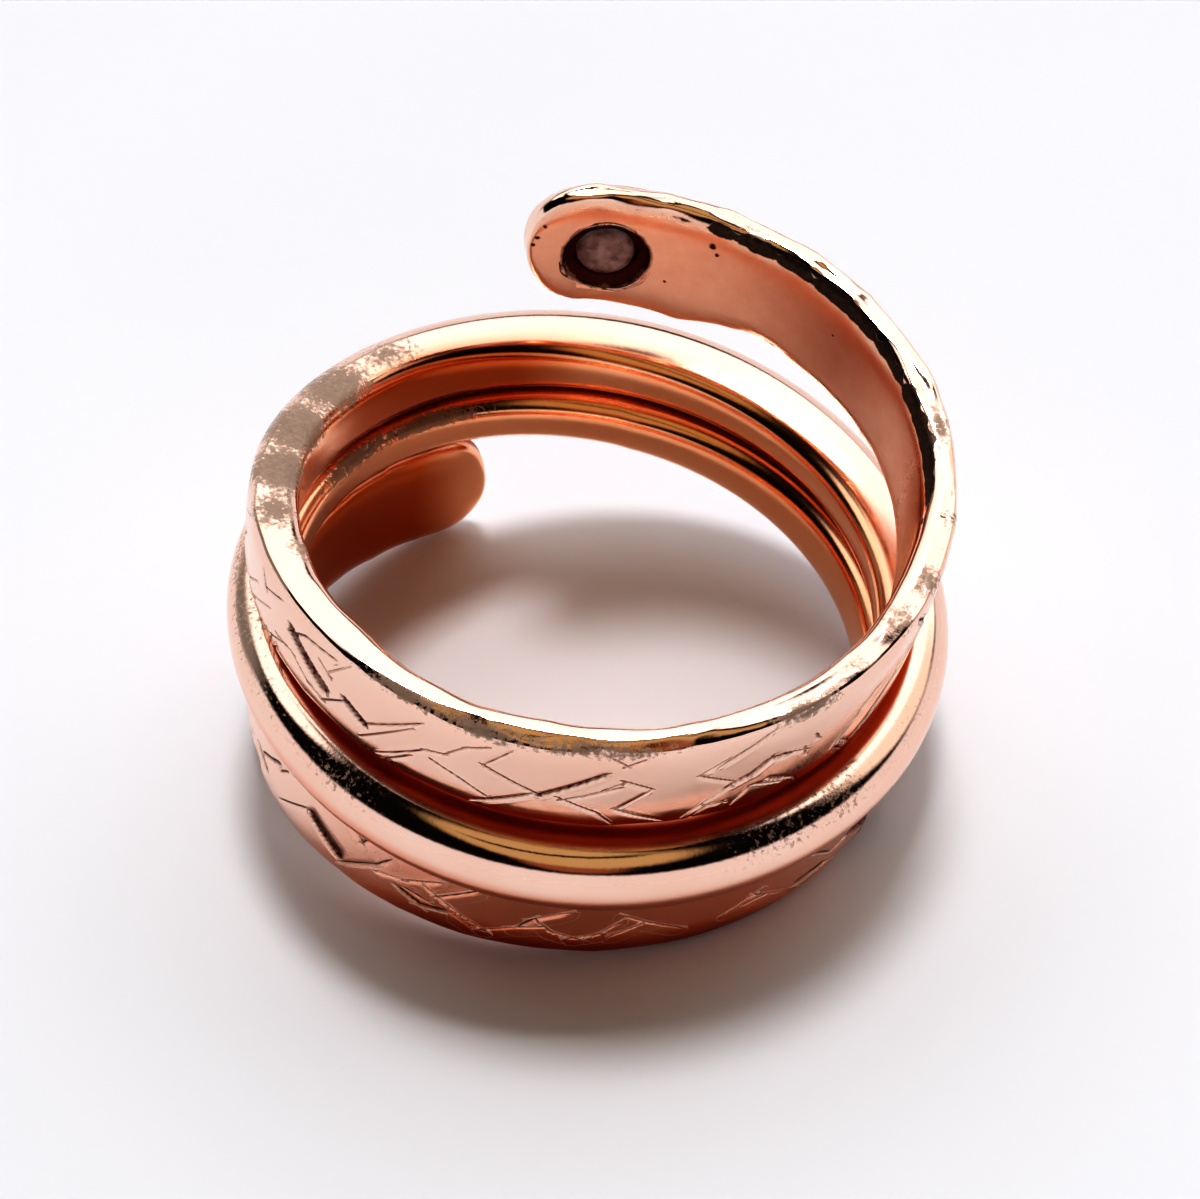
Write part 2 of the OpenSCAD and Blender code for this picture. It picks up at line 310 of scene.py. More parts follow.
# Cuts in the outer face of the upper band. Each is a straight stroke of a graver or chisel: wrap angle and
# height on the face where it starts, the same where it ends, width, depth, lean of its deepest line (-1
# right to 1 left of the stroke), height of the burr beside it (minus for the right side), and how dark its
# bottom is.
UPPER_CUTS = [
    (-394.5, 1.65, -387.0, 0.70, 0.20, 0.07, 0.3, -0.020, 0.7),
    (-387.5, 0.95, -384.0, 0.50, 0.16, 0.05, 0.3, 0.012, 0.6),
    (-400.0, 0.10, -396.0, 0.32, 0.24, 0.09, 0.0, 0.000, 1.0),
    (-396.5, 0.35, -393.0, -0.25, 0.32, 0.13, 0.2, -0.032, 1.3),
    (-393.5, -0.15, -389.3, -0.50, 0.24, 0.10, 0.2, -0.030, 1.0),
    (-389.6, -0.50, -386.0, -1.00, 0.16, 0.06, 0.2, 0.018, 0.7),
    (-386.0, -1.00, -382.5, -1.70, 0.18, 0.06, 0.2, 0.018, 0.7),
    (-390.0, -0.25, -384.0, 0.40, 0.16, 0.05, 0.0, 0.012, 0.5),
    (-394.5, -0.85, -400.0, -1.35, *GRAVER, 0.010, 0.5),
    (-393.0, -0.95, -391.5, -1.50, 0.16, 0.06, 0.0, 0.010, 0.6),
    (-389.6, -1.90, -389.4, -1.35, *GRAVER, 0.010, 0.5),
    (-389.4, -1.32, -386.5, -1.25, *GRAVER, 0.010, 0.5),
    (-386.5, -1.25, -383.5, -2.00, 0.18, 0.07, 0.0, 0.012, 0.8),
    (-379.0, -1.60, -371.3, -0.85, 0.18, 0.05, -0.3, 0.022, 0.3),
    (-371.6, -0.75, -375.6, -0.05, 0.16, 0.06, 0.2, 0.010, 0.6),
    (-375.8, 0.12, -371.6, 0.50, 0.18, 0.06, 0.2, 0.012, 0.6),
    (-371.5, 0.42, -366.0, -0.22, 0.18, 0.05, -0.2, 0.022, 0.3),
    (-371.0, 0.20, -362.5, -0.48, 0.16, 0.04, -0.2, 0.020, 0.2),
    (-368.6, 0.82, -358.7, -0.42, 0.22, 0.10, 0.0, -0.024, 1.3),
    (-358.7, -0.40, -354.0, -0.02, 0.16, 0.06, 0.0, 0.014, 0.7),
    (-354.0, -0.02, -349.3, 0.34, 0.16, 0.06, 0.0, 0.014, 0.7),
    (-349.4, 0.38, -353.2, 1.20, *GRAVER, 0.010, 0.5),
    (-370.5, -1.50, -368.0, -1.00, *GRAVER, 0.010, 0.6),
    (-368.0, -1.00, -361.8, -0.42, *GRAVER, 0.012, 0.5),
    (-357.5, -0.45, -348.0, -1.50, 0.20, 0.07, 0.2, -0.022, 0.7),
    (-350.2, -1.00, -345.8, -0.60, 0.12, 0.03, 0.0, 0.008, 0.3),
    (-345.8, -0.60, -341.0, -0.30, 0.12, 0.03, 0.0, 0.008, 0.3),
    (-349.5, 1.12, -346.3, 0.85, *GRAVER, 0.010, 0.5),
    (-346.3, 0.85, -342.8, 0.20, *GRAVER, 0.010, 0.5),
    (-342.8, 0.20, -339.5, 0.02, *GRAVER, 0.010, 0.5),
    (-339.5, 0.02, -331.0, -1.25, *GRAVER, 0.012, 0.6),
    (-336.6, -0.60, -333.2, -1.20, *GRAVER, 0.010, 0.6),
    (-333.2, -1.20, -331.4, -1.85, *GRAVER, 0.010, 0.6),
    (-338.2, 1.02, -328.0, -0.40, 0.18, 0.06, 0.2, -0.018, 0.6),
    (-336.5, 0.60, -327.5, -1.00, 0.14, 0.02, 0.0, 0.008, 0.0),
    (-327.8, -0.42, -323.0, 0.02, 0.36, 0.14, -0.3, 0.030, 2.0),
    (-322.8, -0.15, -318.0, -0.88, 0.16, 0.06, 0.0, 0.012, 0.7),
    (-318.0, -0.88, -314.0, -0.75, 0.16, 0.06, 0.0, 0.012, 0.7),
    (-314.0, -0.75, -309.5, -0.32, *GRAVER, 0.012, 0.6),
    (-309.5, -0.30, -304.0, -0.45, 0.12, 0.04, 0.0, 0.010, 0.5),
    (-318.8, -0.36, -307.9, 0.64, 0.58, 0.18, 0.3, 0.030, 2.6),
    (-320.2, 1.28, -313.0, 1.05, *GRAVER, 0.010, 0.6),
    (-313.0, 1.05, -307.8, 0.42, 0.16, 0.06, 0.0, 0.012, 0.8),
    (-319.4, 0.40, -317.2, 0.66, 0.12, 0.04, 0.0, 0.010, 0.4),
    (-323.5, 1.45, -319.5, 0.60, 0.14, 0.02, 0.0, 0.008, 0.1),
    (-304.5, 1.15, -298.6, 0.64, *GRAVER, 0.010, 0.6),
    (-298.6, 0.60, -297.0, 1.00, 0.20, 0.08, 0.0, 0.010, 1.0),
    (-307.0, -0.35, -301.6, -0.90, *GRAVER, 0.012, 0.6),
    (-301.6, -0.90, -300.0, -1.70, 0.16, 0.05, 0.0, 0.012, 0.8),
    (-303.8, -1.00, -300.6, -1.70, 0.16, 0.06, 0.0, 0.012, 0.9),
    (-299.2, -1.00, -296.8, -1.65, *GRAVER, 0.010, 0.6),
    (-296.4, -1.15, -294.2, -1.60, *GRAVER, 0.010, 0.6),
    (-300.2, 0.05, -293.0, -0.80, 0.14, 0.04, 0.0, 0.010, 0.4),
    (-293.0, -0.80, -289.6, -1.62, *GRAVER, 0.010, 0.5),
    (-294.0, 0.05, -284.0, -1.50, 0.30, 0.05, 0.0, 0.012, 0.3),
    (-282.5, 0.20, -275.0, -1.20, 0.22, 0.07, 0.0, 0.014, 0.8),
    (-285.0, 1.30, -277.0, 0.30, 0.16, 0.04, 0.0, 0.010, 0.4),
    (-268.0, 0.70, -263.5, -1.10, 0.22, 0.05, 0.0, 0.012, 0.7),
    (-427.8, 1.85, -434.5, 0.55, 0.26, 0.08, 0.3, 0.020, 0.9),
    (-434.5, 0.55, -443.0, -1.75, 0.26, 0.08, 0.3, 0.020, 0.9),
    (-434.0, 0.50, -438.0, -1.00, *GRAVER, 0.010, 0.4),
    (-437.8, -1.10, -437.6, -1.95, *GRAVER, 0.010, 0.5),
    (-437.6, -2.00, -419.0, -2.08, 0.16, 0.05, 0.0, 0.010, 0.6),
    (-424.8, -0.15, -417.5, -1.75, 0.30, 0.10, 0.0, -0.010, 4.0),
    (-427.0, -0.30, -420.0, -1.80, 0.26, 0.09, 0.0, 0.012, 4.0),
    (-427.2, -0.30, -431.5, 0.70, 0.16, 0.06, 0.0, 0.012, 2.0),
    (-428.5, 0.75, -425.2, 0.05, 0.34, 0.05, 0.0, 0.010, 0.3),
    (-418.8, 0.52, -414.8, -0.20, 0.26, 0.09, 0.3, -0.020, 1.0),
    (-414.8, -0.20, -411.0, -1.12, 0.20, 0.08, 0.3, -0.020, 1.0),
    (-412.0, -1.45, -415.0, -2.05, 0.30, 0.10, 0.0, 0.010, 0.9),
    (-413.0, -1.15, -417.0, -2.00, 0.14, 0.04, 0.0, 0.020, 0.1),
    (-405.3, 0.20, -404.6, 0.42, *GRAVER, 0.006, 0.6),
    (-403.6, -0.35, -403.0, -0.02, *GRAVER, 0.006, 0.6),
    (-403.2, -0.12, -399.5, 0.22, *GRAVER, 0.010, 0.5),
    (-397.0, -0.80, -402.8, -1.50, *GRAVER, 0.012, 0.6),
    (-402.8, -1.50, -405.0, -2.10, *GRAVER, 0.012, 0.6),
    (-373.8, 1.42, -371.6, 1.20, 0.18, 0.05, 0.0, 0.015, 0.5),
    (-371.6, 1.20, -369.6, 1.45, 0.18, 0.05, 0.0, 0.015, 0.4),
    (-450.5, 0.10, -447.0, 2.00, 0.16, 0.04, 0.0, 0.010, 0.4),
]

# The same for the lower band
LOWER_CUTS = [
    (287.5, -1.05, 299.0, 0.02, 0.80, 0.15, -0.5, 0.030, 1.4),
    (291.5, -1.20, 301.5, -0.95, 0.62, 0.12, 0.2, 0.020, 1.0),
    (299.0, 0.00, 304.4, -0.20, 0.36, 0.09, 0.0, 0.018, 0.8),
    (305.0, -0.08, 308.4, 0.42, 0.16, 0.06, 0.0, -0.015, 0.7),
    (308.4, 0.42, 311.8, 0.82, 0.16, 0.06, 0.0, -0.015, 0.8),
    (305.4, -0.55, 311.6, -0.62, 0.40, 0.10, -0.4, -0.020, 0.9),
    (311.8, -0.86, 316.0, -0.48, 0.16, 0.05, 0.0, 0.025, 0.2),
    (316.0, -0.48, 320.2, -0.06, 0.16, 0.05, 0.0, 0.025, 0.2),
    (320.3, 0.05, 325.2, -0.42, 0.20, 0.08, 0.2, 0.018, 0.9),
    (318.6, -0.32, 322.2, -0.40, 0.30, 0.06, 0.0, 0.012, 0.5),
    (334.0, -0.52, 339.0, -0.06, 0.20, 0.05, 0.0, 0.028, 0.1),
    (339.0, -0.06, 343.2, 0.38, 0.20, 0.05, 0.0, 0.028, 0.1),
    (341.0, -0.10, 345.2, -0.56, 0.14, 0.04, 0.0, 0.014, 0.2),
    (344.8, 0.02, 347.8, -0.50, *GRAVER, 0.018, 0.3),
    (347.8, -0.50, 351.5, -0.70, *GRAVER, 0.018, 0.3),
    (351.5, -0.70, 355.4, -0.45, *GRAVER, 0.018, 0.3),
    (355.4, -0.45, 358.0, -0.02, *GRAVER, 0.018, 0.3),
    (353.5, 0.50, 358.6, 0.05, 0.20, 0.07, 0.2, 0.030, 0.6),
    (358.6, 0.05, 360.6, -0.36, 0.22, 0.08, 0.0, 0.020, 0.9),
    (357.4, -0.30, 361.6, -0.52, 0.16, 0.05, 0.0, 0.026, 0.2),
    (361.6, -0.52, 366.6, -0.96, 0.18, 0.06, 0.0, 0.026, 0.4),
    (366.8, -0.96, 372.6, -0.38, 0.16, 0.06, 0.0, 0.020, 0.4),
    (372.6, -0.38, 377.6, 0.14, *GRAVER, 0.016, 0.4),
    (368.8, -1.02, 374.2, -0.46, *GRAVER, 0.014, 0.4),
    (369.0, 0.76, 375.2, -0.06, *GRAVER, 0.014, 0.6),
    (375.8, 0.56, 381.6, 0.02, 0.16, 0.05, 0.0, 0.020, 0.5),
    (381.6, 0.02, 387.2, -0.32, 0.16, 0.05, 0.0, 0.022, 0.2),
    (373.6, -0.60, 378.4, -0.76, 0.20, 0.08, -0.3, -0.026, 0.9),
    (378.4, -0.76, 382.8, -0.46, 0.22, 0.08, -0.3, -0.026, 0.9),
    (376.8, -0.52, 381.8, -0.36, 0.26, 0.06, 0.0, 0.015, 0.6),
    (385.0, 0.52, 387.4, 0.00, 0.16, 0.06, 0.2, 0.012, 0.8),
    (387.4, 0.00, 395.0, -1.05, 0.20, 0.07, 0.2, -0.015, 0.8),
    (388.8, 1.02, 391.0, 0.55, 0.24, 0.08, 0.0, 0.020, 0.7),
    (391.0, 0.55, 393.0, 1.02, 0.24, 0.08, 0.0, 0.020, 0.7),
    (395.0, -0.72, 403.6, 0.02, 0.78, 0.15, -0.6, -0.030, 1.3),
    (395.0, 1.12, 404.0, 1.14, 0.26, 0.09, 0.2, -0.020, 1.0),
    (404.0, 1.10, 411.0, 0.86, 0.30, 0.10, 0.2, -0.030, 1.0),
    (411.0, 0.86, 416.8, 0.58, 0.24, 0.09, 0.0, 0.020, 1.0),
    (405.0, 0.80, 409.0, 0.62, 0.24, 0.08, 0.0, 0.030, 0.6),
    (411.6, 0.36, 413.6, 0.02, 0.20, 0.08, 0.0, 0.015, 0.9),
    (414.2, 0.22, 417.6, -0.18, 0.28, 0.10, 0.0, 0.020, 1.0),
    (417.6, -0.18, 421.0, -0.56, 0.22, 0.09, 0.0, 0.020, 1.0),
    (420.6, 0.42, 424.2, 0.08, 0.18, 0.07, 0.0, 0.020, 0.8),
    (405.2, -0.16, 412.4, -1.12, 0.14, 0.06, 0.0, 0.012, 0.8),
    (418.8, -1.10, 424.4, -0.84, 0.62, 0.13, 0.3, 0.020, 0.9),
    (422.6, -1.50, 430.0, -1.66, 0.70, 0.13, -0.3, 0.020, 1.0),
    (425.0, -0.10, 432.0, -0.62, 0.18, 0.04, 0.0, 0.014, 0.3),
    (428.0, -1.00, 436.0, -1.90, 0.18, 0.05, 0.0, 0.014, 0.4),
    (447.0, 1.95, 453.0, 1.30, 0.18, 0.06, 0.0, 0.014, 0.8),
    (453.0, 1.30, 459.0, -0.10, 0.18, 0.06, 0.0, 0.014, 0.8),
    (459.0, -0.10, 464.5, -1.50, 0.16, 0.05, 0.0, 0.012, 0.6),
]
STROKE_REACH = 2.0        # how far past its ends a stroke is worked out
FACE_REACH = 4.0          # and how far up and down the face
STROKE_END = 0.45         # the part of its width that a stroke keeps at its very end
END_TAPER = 0.22          # length over which a stroke runs out at each end
DIRT_SPREAD = 2.6         # old oxide fills a stroke from its bottom up
DIRT_START = 0.8
BURR_WIDTH = 0.055
BURR_OFF = 0.6            # distance of the burr's crest from the stroke, in burr widths
SWELL_WIDTH = 0.45        # metal pushed up beside a stroke, much wider than its burr
SWELL_START = 0.06
SWELL = 0.4
BARE_DEPTH = 0.02         # no burr stands where another stroke is deeper than this
FAR = 0.4                 # distances from a stroke's deepest line are kept up to this


def crossing(one, two):
    """Whether two strokes cross or nearly touch."""
    ax, ay, bx, by = one[0] * MM_PER_DEGREE, one[1], one[2] * MM_PER_DEGREE, one[3]
    cx, cy, dx, dy = two[0] * MM_PER_DEGREE, two[1], two[2] * MM_PER_DEGREE, two[3]
    turn = (bx - ax) * (dy - cy) - (by - ay) * (dx - cx)
    if abs(turn) < 1e-9:
        return False
    t = ((cx - ax) * (dy - cy) - (cy - ay) * (dx - cx)) / turn
    u = ((cx - ax) * (by - ay) - (cy - ay) * (bx - ax)) / turn
    return -0.1 < t < 1.1 and -0.1 < u < 1.1


def cut_layers(cuts):
    """Two layers of strokes: one that would cross a stroke of the first goes into the second."""
    first, second = [], []
    for cut in cuts:
        (second if any(crossing(cut, other) for other in first) else first).append(cut)
    return first, second


def cut_face(w, up, cuts):
    """Height, darkness and the distances to the nearest stroke that a table of cuts gives the face. Across
    a stroke the depth falls straight to its deepest line and rises straight again, its ends run out, and on
    one side stand a narrow burr, a bell curve, and a wide low swell that fades away from it. One distance
    is across the deepest line, plus on the burr's side, and one is plain."""
    depth, raised, dark = np.zeros(w.shape), np.zeros(w.shape), np.zeros(w.shape)
    signed, plain = np.full(w.shape, FAR), np.full(w.shape, FAR)
    along_face = w * MM_PER_DEGREE
    for w0, up0, w1, up1, width, deep, lean, burr, dirt in cuts:
        x0, x1 = w0 * MM_PER_DEGREE, w1 * MM_PER_DEGREE
        length = math.hypot(x1 - x0, up1 - up0)
        dx, dy = (x1 - x0) / length, (up1 - up0) / length
        beside_it = abs(along_face - (x0 + x1) / 2) < length / 2 + STROKE_REACH
        near = np.nonzero(beside_it & (abs(up - (up0 + up1) / 2) < FACE_REACH))
        x, y = along_face[near] - x0, up[near] - up0
        along, across = x * dx + y * dy, -x * dy + y * dx
        run_out = np.clip(np.minimum(along, length - along) / END_TAPER + 0.5, 0, 1) ** 0.5
        half = width / 2 * (STROKE_END + (1 - STROKE_END) * run_out)
        q = across / half
        shape = np.clip(np.minimum((1 + q) / (1 + lean), (1 - q) / (1 - lean)), 0, 1) * run_out
        depth[near] = np.maximum(depth[near], deep * shape)
        filled = np.clip(dirt * shape * DIRT_SPREAD - DIRT_START, 0, min(1, dirt))
        dark[near] = np.maximum(dark[near], filled)
        side = math.copysign(1, burr)
        beside = side * across - half
        ridge = np.exp(-((beside - BURR_OFF * BURR_WIDTH) / BURR_WIDTH) ** 2)
        begun = smooth(-SWELL_START, SWELL_START, beside)
        swell = SWELL * np.exp(-np.maximum(beside, 0) / SWELL_WIDTH) * begun
        raised[near] = np.maximum(raised[near], abs(burr) * np.maximum(ridge, swell) * run_out)
        from_line = side * (across - lean * half)
        past_end = np.maximum(0, np.maximum(-along, along - length))
        reach = np.hypot(from_line, past_end)
        signed[near] = np.where(reach < plain[near], from_line, signed[near])
        plain[near] = np.minimum(reach, plain[near])
    return raised * (1 - np.clip(depth / BARE_DEPTH, 0, 1)) - depth, dark, signed, plain


def columns():
    """The points round one section, from the top of the outer side down to its foot and back up the inner
    side. Each is (side, is it on an edge, value): a share of the half width on a face, a share of the
    corner's depth on an edge."""
    edge = np.arange(1, EDGE_POINTS + 1) / (EDGE_POINTS + 1)
    face = np.linspace(FACE_CUT, -FACE_CUT, FACE_POINTS)
    outer = [(1, 1, 0.0)] + [(1, 1, f) for f in edge] + [(1, 0, v) for v in face]
    outer += [(1, -1, f) for f in edge[::-1]] + [(1, -1, 0.0)]
    edge = np.arange(1, INSIDE_EDGE_POINTS + 1) / (INSIDE_EDGE_POINTS + 1)
    face = np.linspace(-INSIDE_CUT, INSIDE_CUT, INSIDE_POINTS)
    inner = [(-1, -1, f) for f in edge] + [(-1, 0, v) for v in face] + [(-1, 1, f) for f in edge[::-1]]
    return np.array(outer), np.array(inner)


def round_off(u, power):
    """How far a corner still reaches out at the share u of its depth: (1 - u^power)^(1/power)."""
    return (1 - np.clip(u, 0, 1) ** power) ** (1 / power)


def outer_side(w, edge, value, a, b):
    """The outer side of a section, in half thicknesses and half widths, its normal, and the x where its
    face meets its edges. It is a rectangle with rounded corners, which fill all of it where the wire is
    round. On the face x is worked out from y, and on the edges y from x."""
    flat = flatness(w)
    on_face = edge == 0
    top = (edge > 0) | (value > 0) & on_face
    reach, deep, curve = (along_wire(w, TOP_EDGE, column) for column in (REACH, DEEP, CURVE))
    take_x = 1 - (1 - np.where(top, deep, CORNER_DEEP)) * flat
    take_y = 1 - flat + flat * np.where(top, reach, CORNER_LOW) / b
    bend = np.where(top, 2 + (curve - 2) * flat, 2.0)
    dome = CROWN * flat

    def x_of_y(y):
        return 1 - take_x + take_x * round_off((abs(y) - 1 + take_y) / take_y, bend)

    def y_of_x(x):
        return 1 - take_y + take_y * round_off((x - 1 + take_x) / take_x, bend)

    x_cut = x_of_y(FACE_CUT) * value
    x = np.where(on_face, x_of_y(value) - dome * value ** 2, x_cut - dome * FACE_CUT ** 2 * value)
    y = np.where(on_face, value, edge * y_of_x(x_cut))
    x_near = np.clip((np.where(on_face, x_of_y(value), x_cut) - 1 + take_x) / take_x, 0, 1)
    y_near = np.clip((abs(y) - 1 + take_y) / take_y, 0, 1)
    nx = x_near ** (bend - 1) / (take_x * a)
    ny = np.sign(y) * y_near ** (bend - 1) / (take_y * b)
    return x, y, nx, ny, x_cut


def inner_side(edge, value, a, b):
    """The side towards the finger, and its normal: half of a rounded rectangle, abs(x)^4 + abs(y)^4 = 1."""
    power = INSIDE_POWER
    on_face = edge == 0
    x_edge = value * (1 - INSIDE_CUT ** power) ** (1 / power)
    x = -np.where(on_face, (1 - np.minimum(abs(value), 1) ** power) ** (1 / power), x_edge)
    y = np.where(on_face, value, edge * (1 - abs(x_edge) ** power) ** (1 / power))
    return x, y, -abs(x) ** (power - 1) / a, np.sign(y) * abs(y) ** (power - 1) / b


# Hammering. Two noises sway the edges: pitch along the wire, shift in the noise's table, height and seed
SWAYS = ((3.4, 0.0, 0.06, 21), (1.2, 7.3, 0.022, 22))
SWAY_SHIFT = 300
LOWER_SHIFT = 31.7        # takes the lower edge to another part of the table
SWAY_IN = 0.10            # how far the swaying edges are drawn in, to stay inside the solid
EDGE_IN = 0.03
FACE_SWAY = 0.5           # the part of the sway that the faces follow near the edges
# From which to which share of the half width these come in: the sway, the top edge let down and spread
# towards the finger, and the lower edge let down
SWAYING, LET_DOWN, SPREADING, LOW_LET_DOWN = (0.5, 1.0), (0.55, 1.0), (0.45, 1.0), (0.3, 1.0)
DENT_DEEP = 0.045
# Dents along the edges: pitch along the wire, number to a half width, how fast they flatten, shifts, seed
DENTS = ((1.7, 1.1, 0.085, 40, 9, 3), (0.6, 3.1, 0.010, 80, 7, 4))
# Waves on the faces, and wider ones on the raised end: pitch along and across, height, shifts, seed
FACE_WAVE = (1.6, 1.2, 0.006, 300, 20, 5)
END_WAVE = (2.3, 1.9, 0.016, 500, 50, 6)
ROUND_WAVE = 0.25         # the part of the waves that is left on round wire
FACETS = (0.9, 1 / 0.9, 0.020, 700, 60, 7)    # the same for the flat facets along the upper band's top edge
FACETS_FROM = (-215, -235)
HARD_BLOWS = 0.8          # how much harder than elsewhere the raised end is hammered
NOTCH_AT, NOTCH_LONG, NOTCH_DEEP = -514.0, 11.0, 0.34    # a shallow dip in the lower edge of the raised end


def blows(w):
    """How hard the edges are hammered."""
    return 1 + HARD_BLOWS * smooth(-440, -470, w)


def waves(along, across, kind):
    """Soft waves of one kind, as heights in millimetres."""
    long, wide, high, shift_along, shift_across, seed = kind
    return high * lattice_noise(along / long + shift_along, across / wide + shift_across, seed)


def hammered(w, x, y, a, b):
    """A section's points in millimetres, with the edges swayed by the hammer, the top edge let down and
    spread towards the finger, and the lower edge let down or notched."""
    s, end = arc(w), nose(w)
    over = np.where(y > 0, 0.0, LOWER_SHIFT)
    sway = sum(high * lattice_noise(s / pitch + SWAY_SHIFT, over + shift, seed)
               for pitch, shift, high, seed in SWAYS)
    near_edge = smooth(*SWAYING, abs(y)) * flatness(w)
    out = x * (a - INSET) * thinness(w) + FACE_SWAY * (sway - SWAY_IN) * near_edge * x
    up = y * (b - INSET) * end + np.sign(y) * near_edge * np.minimum(0, blows(w) * sway - EDGE_IN)
    up = up - along_wire(w, TOP_EDGE, FALL) * end * smooth(*LET_DOWN, y) * (1 - x) / 2
    notch = NOTCH_DEEP * np.exp(-((w - NOTCH_AT) / NOTCH_LONG) ** 2)
    up = up + (notch - along_wire(w, LOWER_DROP) * end) * smooth(*LOW_LET_DOWN, -y)
    out = out - along_wire(w, SPREAD) * smooth(*SPREADING, y) * np.clip((1 - x) / 2, 0, 1)
    return out, up


def relief(w, x, y, up, edge):
    """How far hammering lifts a point along its normal: two sizes of dents along the edges, facets along
    the top edge, and soft waves on the faces."""
    s = arc(w)
    at_edge = edge_share(w, y)
    round_it = np.where(edge == 0, y, np.sign(y) * (2 - abs(x)))
    dents = sum(curve * dimples(s / long + shift, round_it * number + other, seed)
                for long, number, curve, shift, other, seed in DENTS)
    lift = -at_edge * np.maximum(0, DENT_DEEP - dents) * blows(w)
    face_waves = waves(s, up, FACE_WAVE) * (ROUND_WAVE + (1 - ROUND_WAVE) * flatness(w))
    lift = lift + (face_waves + waves(s, up, END_WAVE) * raised_end(w)) * (1 - at_edge)
    facets = waves(s, round_it, FACETS) - FACETS[2]
    return lift + at_edge * (y > 0) * facets * smooth(*FACETS_FROM, w)


def raised_end(w):
    """1 on the raised end."""
    return smooth(-440, -480, w)


def edge_share(w, y):
    """1 on the edges of a flat band, 0 on its faces and on round wire."""
    return smooth(0.70, 0.95, abs(y)) * flatness(w)


TOUCHING = 0.994          # grime and painted shade between turns start at this share of the half width
FRONT_TOP, FRONT_FOOT = 0.04, 0.18      # and this much earlier on the round wire's front, above and below,
LOWER_TOP = 0.05                        # and on the lower band's
TURN_ABOVE = (-130, -90)  # wrap angles between which another turn comes to lie on the wire
CORNER_AT = 0.82          # where the top edge turns down to the finger, in half thicknesses
NO_LINE = -0.3            # what the black line's mark is where there is none
LINE_IN = 0.20            # how far over the corner the black line starts
LINE_SHORT = 0.10         # how much short of its width it ends
LINE_LEAST = 0.02         # no line where its width is less
LINE_SWAY = (0.35, 900, 0.4)            # noise along the wire on its width: pitch, shift, share
LINE_CHIPS = (0.5, 1100, 0.05)          # and on its start: pitch, shift, millimetres
PAINTED_SHADE, PAINTED_SHADE_TOP, PAINTED_SHADE_LOW = 0.7, 0.5, 0.9    # painted red shade: in the middle, less at the top and more low down
TOP = 0.6                 # share of the half width above which marks of the top edge lie
SPOT_END = 1.3            # spots and scuffs end at this part more than their half size
SCUFFS_AT = (0.25, 0.6)   # scuffs come in between these shares of the half width, where the wire's side
SCUFFS_IN = -0.15         # faces outwards at least this far
SHADE_UNDER_AT = (-0.2, 0.35)               # the painted red shade under the wire comes in between these, downwards
# The finger side's painted shade, a darker copper: how far inwards a point has to lie, and how fast it
# comes on
FINGER_FROM, FINGER_RATE = -0.05, 1.3
OVER_TOP = (-225, -245)   # wrap angles between which the top edge stops counting as finger side
OVER_TOP_AT = 0.7         # and from this share of the half width on
ON_FACE = (-0.2, 0.3)     # cuts come in between these parts of the half thickness
BRUSHED_AT = (0.0, 0.4)   # and the brushed finish between these


def wear_and_painted_shade(w, x, y, edge, outside, a, b, x_cut):
    """What wearing and age left on the skin, and painted shade, as marks for the material: grime and
    painted shade where turns touch, a red painted shade low down, the distance over the top edge from its
    inner corner, the black line along that corner, and the dull spots."""
    s = arc(w)

    # Grime and painted shade in each side's last sliver against another turn; red painted shade, deeper
    # down
    front, low_front = stretch(w, ROUND_FRONT), stretch(w, LOWER_FRONT)
    start = TOUCHING - front * np.where(y > 0, FRONT_TOP, FRONT_FOOT) - LOWER_TOP * low_front * (y > 0)
    touched = np.where(y > 0, smooth(*TURN_ABOVE, w), stretch(w, TURN_BELOW))
    grime_and_shade = smooth(start, 1.0, abs(y)) * touched
    painted_low_shade = PAINTED_SHADE - PAINTED_SHADE_TOP * smooth(0.5, 0.95, y) + PAINTED_SHADE_LOW * smooth(0.1, 0.9, -y)
    painted_low_shade = np.maximum(low_front * outside * painted_low_shade, stretch(w, ROUND_SHADED_UNDER) * smooth(*SHADE_UNDER_AT, -y))

    # The distance over the top edge, and how far inside the black line a point lies, in millimetres
    face_rim = (x_cut + CORNER_AT) * a + (FACE_CUT - y) * b
    inner_rim = (y - INSIDE_CUT) * b
    rim = np.where(edge != 0, (x + CORNER_AT) * a, np.where(outside, face_rim, inner_rim))
    long, shift, share = LINE_SWAY
    wide = along_wire(w, BLACK_LINE) * (1 + share * lattice_noise(s / long + shift, 0 * s, 41))
    long, shift, chip = LINE_CHIPS
    chipped = chip * lattice_noise(s / long + shift, 0 * s + 3, 42)
    line = np.minimum(rim + LINE_IN + chipped, wide - LINE_SHORT - rim)
    line = np.where((wide > LINE_LEAST) & (y > TOP), line, NO_LINE)

    # Dull spots, soft ellipses on the top edge, and scuffs along the upper side of the round wire
    dull = np.zeros(w.shape)
    for spot_w, spot_rim, long, across, strength in DULL_SPOTS:
        away = np.hypot((w - spot_w) * MM_PER_DEGREE / long, (rim - spot_rim) / across)
        dull = np.maximum(dull, strength * np.clip(SPOT_END - away, 0, 1) * (y > TOP))
    for spot_w, long, strength in SCUFFS:
        near = np.clip(SPOT_END - abs(w - spot_w) * MM_PER_DEGREE / long, 0, 1)
        dull = np.maximum(dull, strength * near * smooth(*SCUFFS_AT, y) * (x > SCUFFS_IN))
    return {"grime_and_shade": grime_and_shade, "painted_low_shade": painted_low_shade, "rim": rim, "line": line, "dull": dull}


